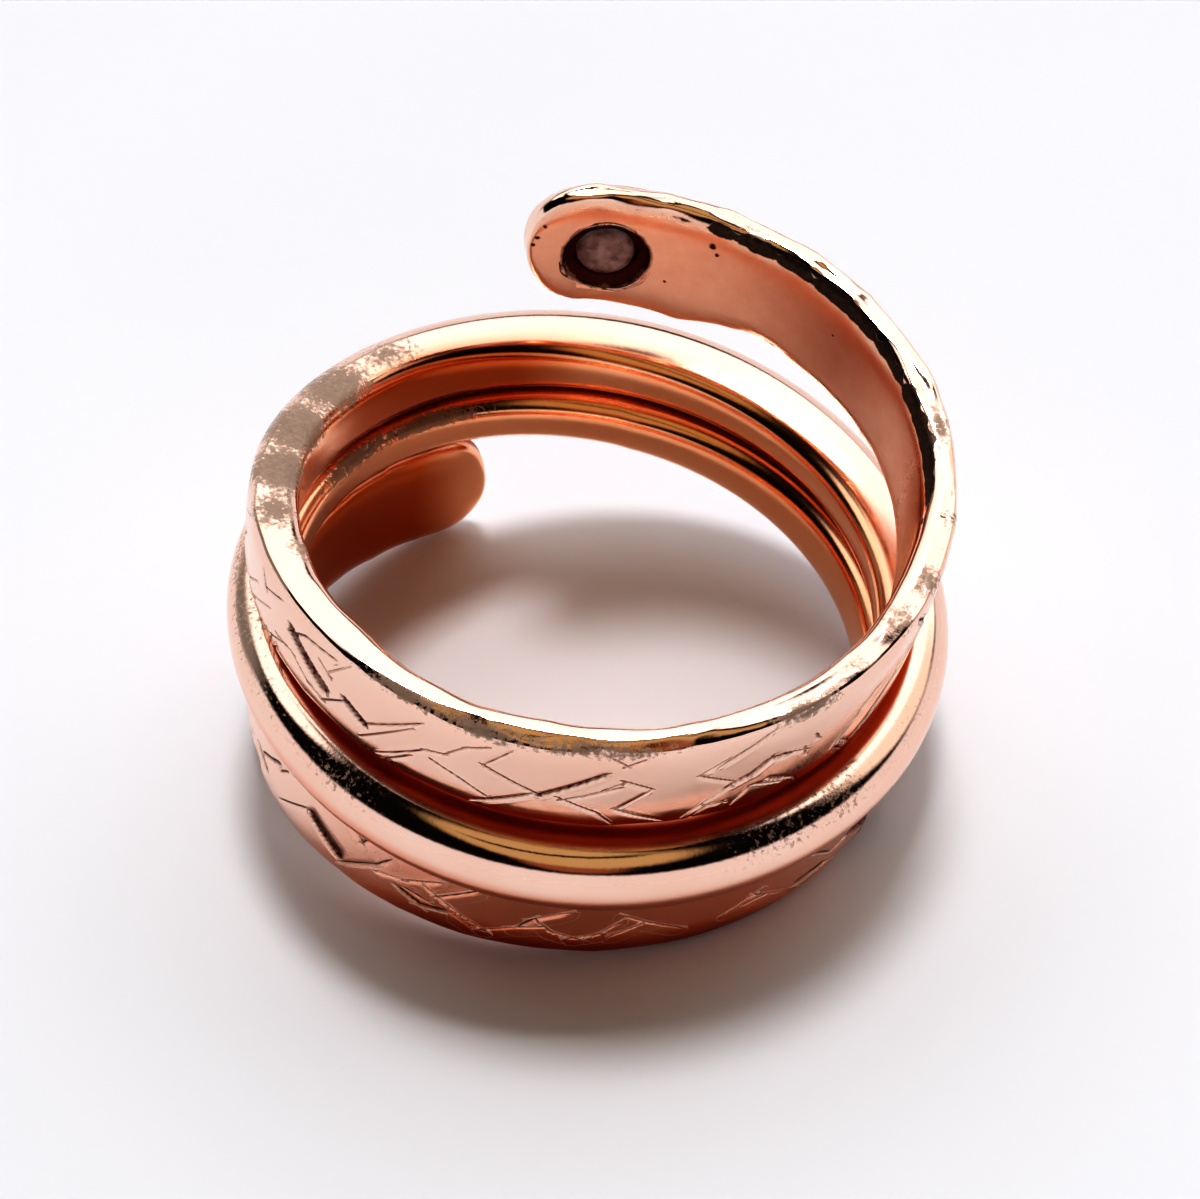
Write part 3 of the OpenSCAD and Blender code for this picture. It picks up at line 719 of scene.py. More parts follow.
def skin(w, points, cuts=()):
    """Points of the wire's skin in the row frame, in millimetres, and its marks, for a column of wrap
    angles and a row of section points. Each is a point of the section's outline, moved by the hammer and
    then lifted or sunk along its own normal by dents and cuts, and carried round the coil."""
    w = w[:, None] + 0 * points[None, :, 0]
    side, edge, value = (points[None, :, k] + 0 * w for k in range(3))
    outside = side > 0
    a, b = row_value(w, THICK), row_value(w, WIDE)
    *outer, x_cut = outer_side(w, edge, value, a, b)
    inner = inner_side(edge, value, a, b)
    x, y, nx, ny = (np.where(outside, one, other) for one, other in zip(outer, inner))
    nx, ny = nx / thinness(w), ny / nose(w)
    size = np.maximum(np.hypot(nx, ny), 1e-9)
    nx, ny = nx / size, ny / size

    out, up = hammered(w, x, y, a, b)
    lift = relief(w, x, y, up, edge)
    dark = np.zeros(w.shape)
    line_a, near_a, line_b, near_b = (np.full(w.shape, FAR) for _ in range(4))
    if len(cuts):
        cut, dark, line_a, near_a = cut_face(w, up, cuts[0])
        other, more, line_b, near_b = cut_face(w, up, cuts[1])
        on_face = smooth(*ON_FACE, x)
        lift = lift + np.where(abs(cut) > abs(other), cut, other) * on_face
        dark = np.maximum(dark, more) * on_face
    out, up = out + nx * lift, up + ny * lift

    marks = wear_and_painted_shade(w, x, y, edge, outside, a, b, x_cut)
    # Painted shade: a deeper copper on the finger side, redder still at the left and at the low end
    finger_side_shade = np.clip(FINGER_FROM - x * FINGER_RATE, 0, 1)
    over_top = smooth(-0.05, 0.05, marks["rim"]) * (y > OVER_TOP_AT) * smooth(*OVER_TOP, w)
    finger_side_shade = finger_side_shade * (1 - over_top)
    painted_inner_shade = stretch(w, INNER_SHADE_LEFT) + stretch(w, INNER_SHADE_END)
    marks.update({
        "dark": dark, "line_a": line_a, "near_a": near_a, "line_b": line_b, "near_b": near_b,
        "inner": finger_side_shade, "satin": finger_side_shade * raised_end(w), "painted_inner_shade": finger_side_shade * painted_inner_shade,
        "brushed": flatness(w) * smooth(*BRUSHED_AT, x) * (1 - edge_share(w, y)), "along": arc(w)})

    tilt = np.radians(row_value(w, TILT))
    r = BORE_R + row_value(w, OVER) + a + out * np.cos(tilt) - up * np.sin(tilt)
    azimuth = np.radians(FRONT - w)
    z = height(w.ravel()).reshape(w.shape) + out * np.sin(tilt) + up * np.cos(tilt)
    upright = np.stack([r * np.cos(azimuth), r * np.sin(azimuth), z + REST_HEIGHT], -1)
    return upright @ LEAN.T, marks


def turned(axis, degrees):
    """A turn round an axis through the origin, as a matrix."""
    return np.array(Matrix.Rotation(math.radians(degrees), 3, axis))


LEAN = turned("Y", LEAN_RIGHT) @ turned("X", LEAN_FRONT)
END_THICK = 2 * float(row_value(np.array([STONE_AT]), THICK)[0])


def stations():
    """Wrap angles of the coarse sections, and into how many parts each stretch between two is split."""
    tip = TIP_LEN / arc(1.0)
    ease = tip * (1 - np.cos(np.radians(90 * np.arange(TIP_SECTIONS) / TIP_SECTIONS)))
    start, end = UPPER_END + tip, LOWER_END - tip
    (up0, up1), (low0, low1) = ENGRAVED
    fine = FINE_STEP * FINE_SPLIT
    spans = [(start, up0, END_STEP, 1), (up0, up1, fine, FINE_SPLIT), (up1, low0, WIRE_STEP, 1),
             (low0, low1, fine, FINE_SPLIT), (low1, end, END_STEP, 1)]
    wraps, splits = [UPPER_END + ease], [np.ones(TIP_SECTIONS, int)]
    for first, last, step, split in spans:
        count = math.ceil((last - first) * MM_PER_DEGREE / step)
        wraps.append(first + (last - first) * np.arange(count) / count)
        splits.append(np.full(count, split))
    wraps += [np.array([end]), LOWER_END - ease[::-1]]
    splits += [np.ones(TIP_SECTIONS, int)]
    return np.concatenate(wraps), np.concatenate(splits)


def cells(at, rows, across):
    """The four-sided faces of a grid of points, with at(row, place) the number of a point."""
    i, k = np.meshgrid(np.arange(rows - 1), np.arange(across - 1), indexing="ij")
    return np.stack([at(i, k), at(i + 1, k), at(i + 1, k + 1), at(i, k + 1)], -1).reshape(-1, 4)


def band_mesh():
    """The whole wire as one closed skin. The outer side has a fine grid over the engraved bands, the inner
    side a coarse one, and between them each coarse cell meets several fine ones in a fan of triangles."""
    coarse, splits = stations()
    outer, inner = columns()
    starts = np.concatenate([[0], np.cumsum(splits)])
    cell = np.repeat(np.arange(len(splits)), splits)
    part = np.arange(len(cell)) - starts[cell]
    fine = np.append(coarse[cell] + (coarse[cell + 1] - coarse[cell]) * part / splits[cell], coarse[-1])
    outer_points, outer_marks = skin(fine, outer, cut_layers(UPPER_CUTS + LOWER_CUTS))
    inner_points, inner_marks = skin(coarse, inner)
    points = np.concatenate([outer_points.reshape(-1, 3), inner_points.reshape(-1, 3)])
    marks = {k: np.concatenate([outer_marks[k].ravel(), inner_marks[k].ravel()]) for k in outer_marks}
    wide, deep = len(outer), len(inner)
    base = len(fine) * wide

    def at_outer(i, k):
        return i * wide + k

    def at_inner(i, k):
        return base + i * deep + k

    quads = [cells(at_outer, len(fine), wide), cells(at_inner, len(coarse), deep)]
    triangles = []
    one = np.nonzero(splits == 1)[0]
    many = np.nonzero(splits == FINE_SPLIT)[0]
    for rim, start, flip in ((wide - 1, 0, False), (0, deep - 1, True)):
        a, b = at_outer(starts[one], rim), at_outer(starts[one + 1], rim)
        c, d = at_inner(one + 1, start), at_inner(one, start)
        quads.append(np.stack([a, d, c, b] if flip else [a, b, c, d], -1))
        near, far = at_inner(many, start), at_inner(many + 1, start)
        rims = [at_outer(starts[many] + n, rim) for n in range(FINE_SPLIT + 1)]
        middle = FINE_SPLIT // 2
        fan = [(rims[n], near, rims[n + 1]) for n in range(middle)] + [(near, far, rims[middle])]
        fan += [(rims[n], far, rims[n + 1]) for n in range(middle, FINE_SPLIT)]
        triangles += [np.stack(t if flip else t[::-1], -1) for t in fan]
    first, last = (np.concatenate([at_outer(i, np.arange(wide)), at_inner(j, np.arange(deep))])
                   for i, j in ((0, 0), (len(fine) - 1, len(coarse) - 1)))
    faces = np.concatenate(quads).tolist() + np.concatenate(triangles).tolist()
    return points, faces + [first.tolist(), last[::-1].tolist()], marks


def make_piece(name, points, faces, marks=None):
    """A mesh object from points in millimetres and faces, with its marks as attributes, shaded smooth."""
    mesh = bpy.data.meshes.new(name)
    mesh.from_pydata((points * MM).tolist(), [], faces)
    for key, values in (marks or {}).items():
        mesh.attributes.new(key, "FLOAT", "POINT").data.foreach_set("value", values.astype(np.float32))
    mesh.update()
    mesh.shade_smooth()
    piece = bpy.data.objects.new(name, mesh)
    bpy.context.scene.collection.objects.link(piece)
    return piece


def stone_place():
    """The frame of the stone's hole: outwards from the middle of the raised end's inner face."""
    w = np.array([STONE_AT])
    upright = Matrix.Translation((0, 0, float(height(w)[0])))
    upright = upright @ Matrix.Rotation(math.radians(FRONT - STONE_AT), 4, "Z")
    upright = upright @ Matrix.Translation((BORE_R + float(row_value(w, OVER)[0]), 0, 0))
    upright = upright @ Matrix.Rotation(math.radians(90 - float(row_value(w, TILT)[0])), 4, "Y")
    upright = upright @ Matrix.Translation((STONE_LOW, -STONE_BACK, 0))
    return Matrix(LEAN.tolist()).to_4x4() @ Matrix.Translation((0, 0, REST_HEIGHT)) @ upright


def placed(shape):
    """A shape drawn round the stone's axis, carried to the stone's place."""
    points, faces = shape
    place = np.array(stone_place())
    return points @ place[:3, :3].T + place[:3, 3], faces


def turned_shape(profile, sides, wobble, seed):
    """A closed shape turned round Z from a profile of (radius, height) rows, its first and last on the
    axis. Its radius wanders by wobble: three slow waves round the axis, with seeded phases."""
    profile = np.array(profile, float)
    angle = 2 * np.pi * np.arange(sides) / sides
    phases = np.random.default_rng(seed).uniform(0, 6.28, 3)
    swings = zip((2, 5, 9), (1.0, 0.6, 0.4), phases)
    wander = 1 + wobble * sum(high * np.sin(count * angle + phase) for count, high, phase in swings)
    rings = profile[1:-1]
    r = rings[:, 0, None] * wander[None]
    points = np.stack([r * np.cos(angle), r * np.sin(angle), rings[:, 1, None] + 0 * r], -1).reshape(-1, 3)
    points = np.concatenate([points, [[0, 0, profile[0, 1]], [0, 0, profile[-1, 1]]]])

    def at(i, k):
        return i * sides + k % sides

    outwards = [0, 3, 2, 1]
    faces = cells(at, len(rings), sides + 1)[:, outwards].tolist()
    low, high, last = len(points) - 2, len(points) - 1, len(rings) - 1
    faces += [[low, at(0, k + 1), at(0, k)] for k in range(sides)]
    faces += [[high, at(last, k), at(last, k + 1)] for k in range(sides)]
    return points, faces


PAST_FACE = 1             # how far the cutter runs past both faces
HOLE_SIDES = 72
HOLE_WOBBLE = 0.012       # how far out of round the hole is, as a share of its radius
STONE_SIDES = 96
DOME_ROWS = 14


def cut_seat(band):
    """Cuts the stepped hole through the raised end: a countersink on the finger side, a hole opened out by
    hand, and the stone's seat."""
    ledge = END_THICK - SEAT_DEPTH
    hole, recess, seat = BACK_HOLE_D / 2 + OPENED, RECESS_D / 2, STONE_D / 2 + STONE_FIT
    past = END_THICK + PAST_FACE
    profile = [(0, -PAST_FACE), (recess + 0.05, -PAST_FACE), (recess + 0.04, -0.02),
               (recess - 0.05, 0.8 * RECESS_DEPTH), (hole + 0.12, RECESS_DEPTH + 0.02),
               (hole + 0.02, ledge - 0.06), (hole, ledge), (seat, ledge), (seat, past), (0, past)]
    cutter = make_piece("seat_cutter", *placed(turned_shape(profile, HOLE_SIDES, HOLE_WOBBLE, 11)))
    step = band.modifiers.new("seat", "BOOLEAN")
    step.operation = "DIFFERENCE"
    step.solver = "EXACT"
    step.object = cutter
    shaped = bpy.data.meshes.new_from_object(band.evaluated_get(bpy.context.evaluated_depsgraph_get()))
    band.modifiers.clear()
    band.data = shaped
    bpy.data.objects.remove(cutter)


def cabochon():
    """The stone: a slightly uneven flat back, a short girdle and a low dome, a circle's arc turned round
    its axis."""
    back, r = END_THICK - SEAT_DEPTH + STONE_FIT, STONE_D / 2
    crown = END_THICK + STONE_DOME
    dome_r = (r * r + STONE_DOME ** 2) / (2 * STONE_DOME)
    lean = np.linspace(math.asin(r / dome_r), 0, DOME_ROWS)
    dome = [(dome_r * math.sin(t), crown - dome_r * (1 - math.cos(t))) for t in lean[:-1]]
    rows = [(0, PIP), (0.4, PIP + 0.01), (0.7, PIP + 0.02), (0.88, PIP + 0.05), (0.92, back),
            (r - 0.04, back), (r, back + 0.04)]
    return placed(turned_shape(rows + dome + [(0, crown)], STONE_SIDES, 0.0, 12))


LIP_AROUND, LIP_ACROSS = 160, 10
LIP_LOW = 0.01            # height of the drill's lip where it is lowest
# Where it stands tallest: direction round the hole, how far it spreads, height
LIP_PEAKS = ((5.2, 0.8, 0.15), (1.1, 0.45, 0.10))


def seat_burr():
    """The lip of metal that the drill threw up round the countersink: a thin ring, an upright half ellipse
    in section, whose height is a low base, two bell curves round the hole and a little noise. It is widest
    where it is tallest, highest towards the low end of the wire, and dips under the face where there is no
    lip."""
    around = 2 * np.pi * np.arange(LIP_AROUND) / LIP_AROUND
    across = 2 * np.pi * np.arange(LIP_ACROSS) / LIP_ACROSS
    a, t = np.meshgrid(around, across, indexing="ij")
    tall = LIP_LOW + sum(high * np.exp(-((a - place) / spread) ** 2) for place, spread, high in LIP_PEAKS)
    tall = tall + 0.02 * lattice_noise(a * 5 + 20, 0 * a, 31)
    middle = RECESS_D / 2 + 0.07 + 0.03 * lattice_noise(a * 2.2 + 40, 0 * a, 32) + 0.7 * tall
    r = middle + (0.04 + 0.5 * tall) * np.cos(t)
    z = 0.03 - np.where(np.sin(t) < 0, tall, 0.05) * abs(np.sin(t))
    points = np.stack([r * np.cos(a), r * np.sin(a), z], -1).reshape(-1, 3)

    def at(i, k):
        return i % LIP_AROUND * LIP_ACROSS + k % LIP_ACROSS

    return placed((points, cells(at, LIP_AROUND + 1, LIP_ACROSS + 1).tolist()))


# Materials

# Pits in the raised end's inner face: wrap angle, height as a share of the half width, radius
PITS = [
    (-527.8, 0.57, 0.13),
    (-526.6, 0.45, 0.07),
    (-512.3, -0.86, 0.15),
    (-513.6, -0.98, 0.10),
    (-561.8, 0.62, 0.08),
    (-563.0, 0.38, 0.08),
    (-563.6, 0.10, 0.07),
    (-498.0, 0.30, 0.05),
    (-536.0, -0.35, 0.05),
]
PIT_EDGE = 0.8            # where on the edge a pit beyond the face lies
NOISE = (0.3, 0.7)        # where most of a noise's values lie
# Round the drilled hole, in millimetres: the scorched ring ends between these distances from its axis, and
# it lies between these heights above the finger side
RING_EDGE = (1.34, 1.50)
RING_TOP = (0.40, 0.55)
RING_FOOT = (-0.8, -0.6)
MARKS = ("dark", "line_a", "near_a", "line_b", "near_b", "grime_and_shade", "line", "dull", "inner", "satin",
         "brushed", "painted_low_shade", "painted_inner_shade", "along", "rim")


def linear(hex_colour):
    """sRGB hex to linear RGBA."""
    parts = [int(hex_colour[i:i + 2], 16) / 255 for i in (1, 3, 5)]
    return tuple(c / 12.92 if c <= 0.04045 else ((c + 0.055) / 1.055) ** 2.4 for c in parts) + (1.0,)


def add(tree, kind, inputs=(), output=0, **settings):
    """Adds one node and gives one of its outputs. The kind is its type, with its operation after a full
    stop. Inputs are values, sRGB hex colours or other nodes' outputs, in order or by name, and settings go
    on the node."""
    kind, _, operation = kind.partition(".")
    made = tree.nodes.new("ShaderNode" + kind)
    if operation:
        made.operation = operation
    for name, value in settings.items():
        setattr(made, name, value)
    for name, value in inputs.items() if isinstance(inputs, dict) else enumerate(inputs):
        if isinstance(value, bpy.types.NodeSocket):
            tree.links.new(value, made.inputs[name])
        else:
            made.inputs[name].default_value = linear(value) if isinstance(value, str) else value
    return made.outputs[output] if made.outputs else None


def new_material(name):
    """An empty material, add() for its nodes, and the place on the object in millimetres."""
    material = bpy.data.materials.new(name)
    material.use_nodes = True
    material.node_tree.nodes.clear()
    node = partial(add, material.node_tree)
    place = node("TexCoord", output="Object")
    return material, node, node("Mapping", {"Vector": place, "Scale": (1 / MM, 1 / MM, 1 / MM)})


def pit_place(w, share):
    """The middle of a pit, on the face towards the finger or on the edge beside it."""
    on_face = abs(share) < INSIDE_CUT
    point = (-1, 0, share) if on_face else (-1, np.sign(share), PIT_EDGE)
    return tuple(skin(np.array([w]), np.array([point]))[0][0, 0])


def polished_copper():
    """Copper, hammered, engraved and buffed: mirror bright outside with a red painted shade low down and
    painted highlights on its burrs, satin inside the raised end and a deeper, redder painted shade on the
    other insides, dark oxide at the bottom of the cuts with a painted shadow hairline, grime and painted
    shade between the turns, and dark oxide round the drilled hole. Noises are scaled in cycles per
    millimetre. The grain, 6, is coarser than real grit, to show."""
    material, node, mm = new_material("polished_copper")
    mark = {name: node("Attribute", output="Fac", attribute_name=name) for name in MARKS}
    cloud = node("TexNoise", {"Vector": mm, "Scale": 0.35, "Detail": 3.0})
    grain = node("TexNoise", {"Vector": mm, "Scale": 6.0, "Detail": 5.0, "Roughness": 0.65})
    crust = node("TexNoise", {"Vector": mm, "Scale": 1.7, "Detail": 6.0, "Roughness": 0.6})
    lengthwise = node("CombineXYZ", (node("Math.MULTIPLY", (mark["along"], 0.5)), mark["rim"]))
    streaks = node("TexNoise", {"Vector": lengthwise, "Scale": 7.0, "Detail": 4.0})

    # Beside each stroke: a hair-thin painted shadow at its deepest line, a rubbed burr painted pale as a
    # highlight, and its relief, a ridge and a valley
    rubbed_highlight, shadow_hairline, engraved = [], [], []
    for layer in "ab":
        line, near = mark["line_" + layer], mark["near_" + layer]
        middle = node("Math.ABSOLUTE", (line,))
        thin = node("MapRange", (middle, 0.014, 0.045, 1, 0))
        close = node("MapRange", (near, 0.08, 0.14, 1, 0))
        shadow_hairline.append(node("Math.MULTIPLY", (thin, close)))
        rise, fall = node("MapRange", (line, 0.02, 0.05)), node("MapRange", (line, 0.16, 0.10))
        rubbed_highlight.append(node("Math.MULTIPLY", (rise, fall)))
        rise, fall = node("MapRange", (line, 0.03, 0.08)), node("MapRange", (line, 0.08, 0.14))
        ridge = node("Math.SUBTRACT", (rise, fall))
        valley = node("MapRange", (middle, 0.0, 0.06, -1.6, 0.0))
        close = node("MapRange", (near, 0.12, 0.2, 1, 0))
        engraved.append(node("Math.MULTIPLY", (node("Math.ADD", (ridge, valley)), close)))
    rubbed_highlight, shadow_hairline = (node("Math.MAXIMUM", both) for both in (rubbed_highlight, shadow_hairline))

    # The metal itself: bright outside, red painted shade low on it, deeper painted shade inside, satin
    # inside the raised end
    kept = node("MapRange", (rubbed_highlight, 0, 1, 1.0, 0.15))
    painted_low_shade = node("Math.MULTIPLY", (mark["painted_low_shade"], kept))
    bright = node("MixRGB", (cloud, "#fde0d1", "#f9cfbb"))
    # Painted shade: redder and darker low on the lower band's front and under the round wire
    bright = node("MixRGB", (node("MapRange", (painted_low_shade, 0, 1, 0.0, 0.9)), bright, "#f5966a"))
    bright = node("MixRGB", (node("MapRange", (painted_low_shade, 0.8, 1.6)), bright, "#a83a18"))
    # The insides' deeper, redder copper is painted shade
    inside = node("MixRGB", (cloud, "#fecaa6", "#f9b286"))
    inside = node("MixRGB", (mark["painted_inner_shade"], inside, "#d27442"))
    buffed = node("MixRGB", (crust, "#f7cdb4", "#eab093"))
    metal = node("MixRGB", (mark["inner"], bright, inside))
    metal = node("MixRGB", (mark["satin"], metal, buffed))

    # The black line, oxide in the cuts, and the painted shadow hairline along each cut's deepest line
    chips = node("MapRange", (crust, *NOISE, -0.05, 0.05))
    black = node("MapRange", (node("Math.ADD", (mark["line"], chips)), 0.0, 0.03))
    shadow_hairline = node("Math.MULTIPLY", (shadow_hairline, node("MapRange", (mark["dark"], 0.0, 0.5, 0.35, 1.0))))
    patchy = node("MapRange", (grain, *NOISE, 0.6, 1.1))
    cut = node("Math.MULTIPLY", (mark["dark"], patchy), use_clamp=True)
    oxide_and_hairline_shadow = node("Math.MAXIMUM", (black, node("Math.MAXIMUM", (cut, shadow_hairline))), use_clamp=True)
    cut_oxide_and_shadow = node("MixRGB", (grain, "#2e1009", "#6e3624"))
    in_line = node("MixRGB", (grain, "#261a15", "#6e5a4e"))
    soot_and_shadow = node("MixRGB", (black, cut_oxide_and_shadow, in_line))

    # Dull spots, roughened in flecks and grimy, and the red grime and painted shade between the turns
    flecks = node("MapRange", (grain, *NOISE, -0.6, 0.6))
    roughened = node("MapRange", (node("Math.ADD", (mark["dull"], flecks)), 0.35, 0.85))
    roughened = node("Math.MULTIPLY", (roughened, node("MapRange", (mark["dull"], 0.0, 0.25))))
    grime = node("MixRGB", (grain, "#6e5a4c", "#b8a08e"))
    tarnished = node("MixRGB", (node("Math.MULTIPLY", (roughened, 0.95)), metal, grime))
    deep = node("MixRGB", (node("MapRange", (mark["grime_and_shade"], 0, 1)), tarnished, "#b3512e"))

    # Round the drilled hole, by the distance from its axis, and in the pits
    axis = stone_place()
    foot, up = axis @ Vector((0, 0, 0)), (axis.to_3x3() @ Vector((0, 0, 1))).normalized()
    away = node("VectorMath.SUBTRACT", (mm, foot))
    off = node("VectorMath.CROSS_PRODUCT", (away, up))
    distance = node("VectorMath.LENGTH", (off,), output="Value")
    above = node("VectorMath.DOT_PRODUCT", (away, up), output="Value")
    top, bottom = node("MapRange", (above, *RING_TOP, 1, 0)), node("MapRange", (above, *RING_FOOT))
    ragged = node("Math.ADD", (distance, node("MapRange", (crust, *NOISE, -0.08, 0.08))))
    ring = node("MapRange", (ragged, *RING_EDGE, 1, 0))
    ring = node("Math.MULTIPLY", (ring, node("Math.MULTIPLY", (top, bottom))))
    dark_oxide_and_shadow = node("Math.MAXIMUM", (oxide_and_hairline_shadow, ring))
    ragged = node("MapRange", (grain, *NOISE, -0.03, 0.03))
    for w, share, radius in PITS:
        distance = node("VectorMath.DISTANCE", (mm, pit_place(w, share)), output="Value")
        pit = node("MapRange", (node("Math.ADD", (distance, ragged)), radius * 0.6, radius * 1.1, 1, 0))
        dark_oxide_and_shadow = node("Math.MAXIMUM", (dark_oxide_and_shadow, pit))

    # Colour, roughness and how metallic it is, all from the same places
    # Burrs rubbed bright and painted pale, less metallic, as a highlight where the red shade is painted
    worn_highlight = node("Math.MULTIPLY", (rubbed_highlight, node("MapRange", (mark["painted_low_shade"], 0.1, 0.5))))
    colour = node("MixRGB", (worn_highlight, deep, "#f0bda6"))
    colour = node("MixRGB", (dark_oxide_and_shadow, colour, soot_and_shadow))
    grimy_and_shaded = node("Math.MAXIMUM", (dark_oxide_and_shadow, mark["grime_and_shade"]))
    rough = node("MapRange", (mark["inner"], 0, 1, 0.06, 0.15))
    rougher = ((mark["satin"], 0, 1, 0.17), (mark["brushed"], 0, 1, 0.10), (grain, 0.35, 0.7, 0.05),
               (roughened, 0, 1, 0.16), (grimy_and_shaded, 0, 1, 0.30))
    for place, low, high, more in rougher:
        rough = node("Math.ADD", (rough, node("MapRange", (place, low, high, 0, more))))
    matt = node("Math.MULTIPLY", (roughened, 0.85))
    matt = node("Math.MAXIMUM", (matt, node("Math.MULTIPLY", (worn_highlight, 0.6))))
    metallic = node("Math.SUBTRACT", (node("MapRange", (dark_oxide_and_shadow, 0, 1, 1.0, 0.85)), matt), use_clamp=True)

    # Relief: grain and lengthwise streaks, deeper in the dull spots, and the strokes' ridges and valleys
    pitted = node("Math.MULTIPLY", (grain, node("MapRange", (mark["dull"], 0, 1, 1, 6))))
    streaked = node("Math.MULTIPLY", (streaks, node("MapRange", (mark["dull"], 0, 1, 0, 4))))
    texture = node("Math.ADD", (pitted, streaked))
    fine = node("Bump", {"Height": texture, "Strength": 0.3, "Distance": 0.006 * MM})
    height_of_cuts = node("Math.ADD", engraved)
    bump = node("Bump", {"Height": height_of_cuts, "Strength": 0.7, "Distance": 0.02 * MM, "Normal": fine})
    shader = node("BsdfPrincipled", {"Base Color": colour, "Metallic": metallic, "Roughness": rough,
                                     "Normal": bump})
    node("OutputMaterial", {"Surface": shader})
    return material


def dark_stone():
    """A dark brown-purple stone, polished: glassy, with paler veins about half a millimetre apart."""
    material, node, mm = new_material("polished_dark_stone")
    vein = node("TexNoise", {"Vector": mm, "Scale": 1.8, "Detail": 8.0, "Distortion": 0.3})
    colour = node("MixRGB", (node("MapRange", (vein, 0.4, 0.65)), "#7c5a54", "#b8968e"))
    shader = node("BsdfPrincipled", {"Base Color": colour, "Roughness": 0.22})
    node("OutputMaterial", {"Surface": shader})
    return material


def pale_floor():
    """A plain pale board, matt, with a barely visible unevenness of tone every few centimetres."""
    material, node, mm = new_material("matt_pale_board")
    cloud = node("TexNoise", {"Vector": mm, "Scale": 0.03, "Detail": 2.0})
    colour = node("MixRGB", (cloud, "#e2e4ea", "#e8eaef"))
    shader = node("BsdfPrincipled", {"Base Color": colour, "Roughness": 0.75, "Specular IOR Level": 0.2})
    node("OutputMaterial", {"Surface": shader})
    return material


# The pieces

band = make_piece("wrapped_band", *band_mesh())
cut_seat(band)
copper = polished_copper()
band.data.materials.clear()
band.data.materials.append(copper)
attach(band, "root")
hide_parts("coil_band")

burr = make_piece("seat_burr", *seat_burr())
burr.data.materials.append(copper)
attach(burr, "root")

stone = make_piece("dark_cabochon", *cabochon())
stone.data.materials.append(dark_stone())
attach(stone, "root")
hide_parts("stone")

# Floor, light and camera


FLOOR_HALF = 1.5


def floor():
    """A square of board, far larger than the view."""
    half = FLOOR_HALF
    mesh = bpy.data.meshes.new("floor")
    corners = [(-half, -half, 0), (half, -half, 0), (half, half, 0), (-half, half, 0)]
    mesh.from_pydata(corners, [], [(0, 1, 2, 3)])
    piece = bpy.data.objects.new("floor", mesh)
    mesh.materials.append(pale_floor())
    bpy.context.scene.collection.objects.link(piece)


def direction(azimuth, elevation):
    """Unit vector towards a compass direction and height, in degrees."""
    a, e = math.radians(azimuth), math.radians(elevation)
    return Vector((math.cos(a) * math.cos(e), math.sin(a) * math.cos(e), math.sin(e)))


CEILING = (0.008, 0.0075, 0.0075, 1)
WALLS = (0.55, 0.55, 0.57, 1)
WALL_TOP = 27.5           # height of the walls' upper border, in degrees
WALL_FOOT = -80           # they go on below the floor
WALL_SOFT = 3.5
WALL_RISE = 0.17          # how much lower the border lies away from the camera's side
# Soft patches of light: compass direction, height, the radii where each is full and ends, and its radiance
PATCHES = [
    (-74, 44, 8, 15, (0.22, 0.10, 0.06, 1)),
    (-66, 69, 19, 27, (0.38, 0.30, 0.17, 1)),
    (58, 42, 21, 28, (0.94, 0.94, 0.95, 1)),
    (100, 46, 21, 28, (0.94, 0.94, 0.95, 1)),
    (98, 68, 11, 16, (0.92, 0.92, 0.93, 1)),
    (94, 73, 5, 8, (26.0, 26.0, 26.0, 1)),
    (30, 34, 10, 19, (0.66, 0.63, 0.58, 1)),
    (134, 36, 11, 20, (0.85, 0.84, 0.84, 1)),
    (156, 51, 10, 17, (0.90, 0.89, 0.88, 1)),
    (154, 19, 10, 22, (0.19, 0.20, 0.19, 1)),
]

# A narrow dark gap across the light over the camera: the heights of its borders and their softness, and the
# compass direction, height and radii of the patch that it crosses
GAP_BELT = (68.5, 72.5, 0.8)
GAP_PLACE = (-60, 70, 10, 22)


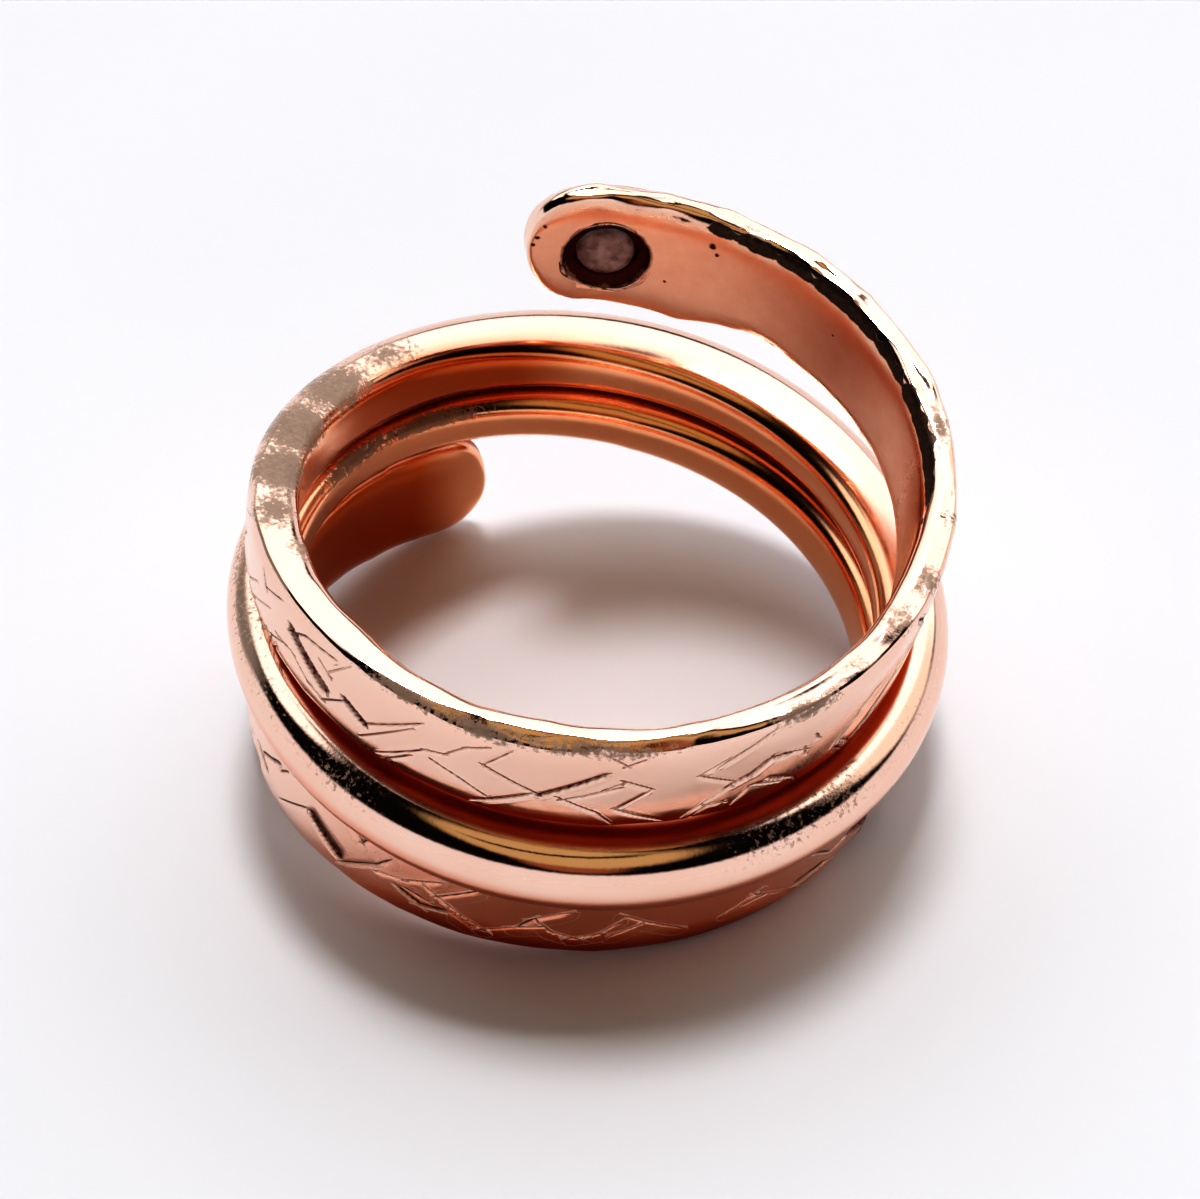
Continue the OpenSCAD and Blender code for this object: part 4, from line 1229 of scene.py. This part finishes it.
def studio():
    """What the metal mirrors: pale walls up to a third of the way, a dark ceiling with warm soft light over
    the camera, and white soft lights high behind the ring on both sides, one of them small and strong."""
    world = bpy.data.worlds.new("studio")
    bpy.context.scene.world = world
    world.use_nodes = True
    world.node_tree.nodes.clear()
    node = partial(add, world.node_tree)
    towards = node("TexCoord", output="Generated")
    z = node("SeparateXYZ", (towards,), output="Z")

    def patch(azimuth, elevation, inside, outside):
        """1 within so many degrees of a direction, falling smoothly to 0 further out."""
        near = node("VectorMath.DOT_PRODUCT", (towards, direction(azimuth, elevation)), output="Value")
        edges = (math.cos(math.radians(outside)), math.cos(math.radians(inside)))
        return node("MapRange", (near, *edges), interpolation_type="SMOOTHSTEP")

    def belt(value, low, high, soft):
        """1 between two heights in degrees, with soft borders."""
        low0, low1, high0, high1 = (math.sin(math.radians(border + side))
                                    for border in (low, high) for side in (-soft, soft))
        up = node("MapRange", (value, low0, low1), interpolation_type="SMOOTHSTEP")
        down = node("MapRange", (value, high0, high1, 1, 0), interpolation_type="SMOOTHSTEP")
        return node("Math.MULTIPLY", (up, down))

    lowered = node("Math.MULTIPLY_ADD", (patch(-75, 0, 0, 85), -WALL_RISE, WALL_RISE))
    rise = node("Math.ADD", (z, lowered))
    sky = node("MixRGB", (belt(rise, WALL_FOOT, WALL_TOP, WALL_SOFT), CEILING, WALLS))
    for *place, shine in PATCHES:
        sky = node("MixRGB", (patch(*place), sky, shine))
    gap = node("Math.MULTIPLY", (belt(z, *GAP_BELT), patch(*GAP_PLACE)))
    sky = node("MixRGB", (gap, sky, CEILING))
    node("OutputWorld", {"Surface": node("Background", {"Color": sky, "Strength": 1.0})})


CAMERA_AT = Vector((10.887, -60.548, 65.824)) * MM
CAMERA_HEADING = 98.99
CAMERA_DOWN = 44.62
CAMERA_ROLL = -2.19
CAMERA_LENS = 82.6


def camera():
    """The photo's view: a close camera looking down at 45 degrees from the front."""
    forward = direction(CAMERA_HEADING, -CAMERA_DOWN)
    level = forward.cross(Vector((0, 0, 1))).normalized()
    upward = level.cross(forward)
    roll = math.radians(CAMERA_ROLL)
    right = level * math.cos(roll) + upward * math.sin(roll)
    top = upward * math.cos(roll) - level * math.sin(roll)
    data = bpy.data.cameras.new("camera")
    data.lens = CAMERA_LENS
    data.sensor_width = 36
    data.clip_start = 0.005
    made = bpy.data.objects.new("camera", data)
    turn = Matrix((right, top, -forward)).transposed().to_4x4()
    made.matrix_world = Matrix.Translation(CAMERA_AT) @ turn
    bpy.context.scene.collection.objects.link(made)
    bpy.context.scene.camera = made


floor()
studio()
camera()
bpy.context.scene.view_settings.view_transform = "Standard"
bpy.context.scene.view_settings.look = "Very High Contrast"
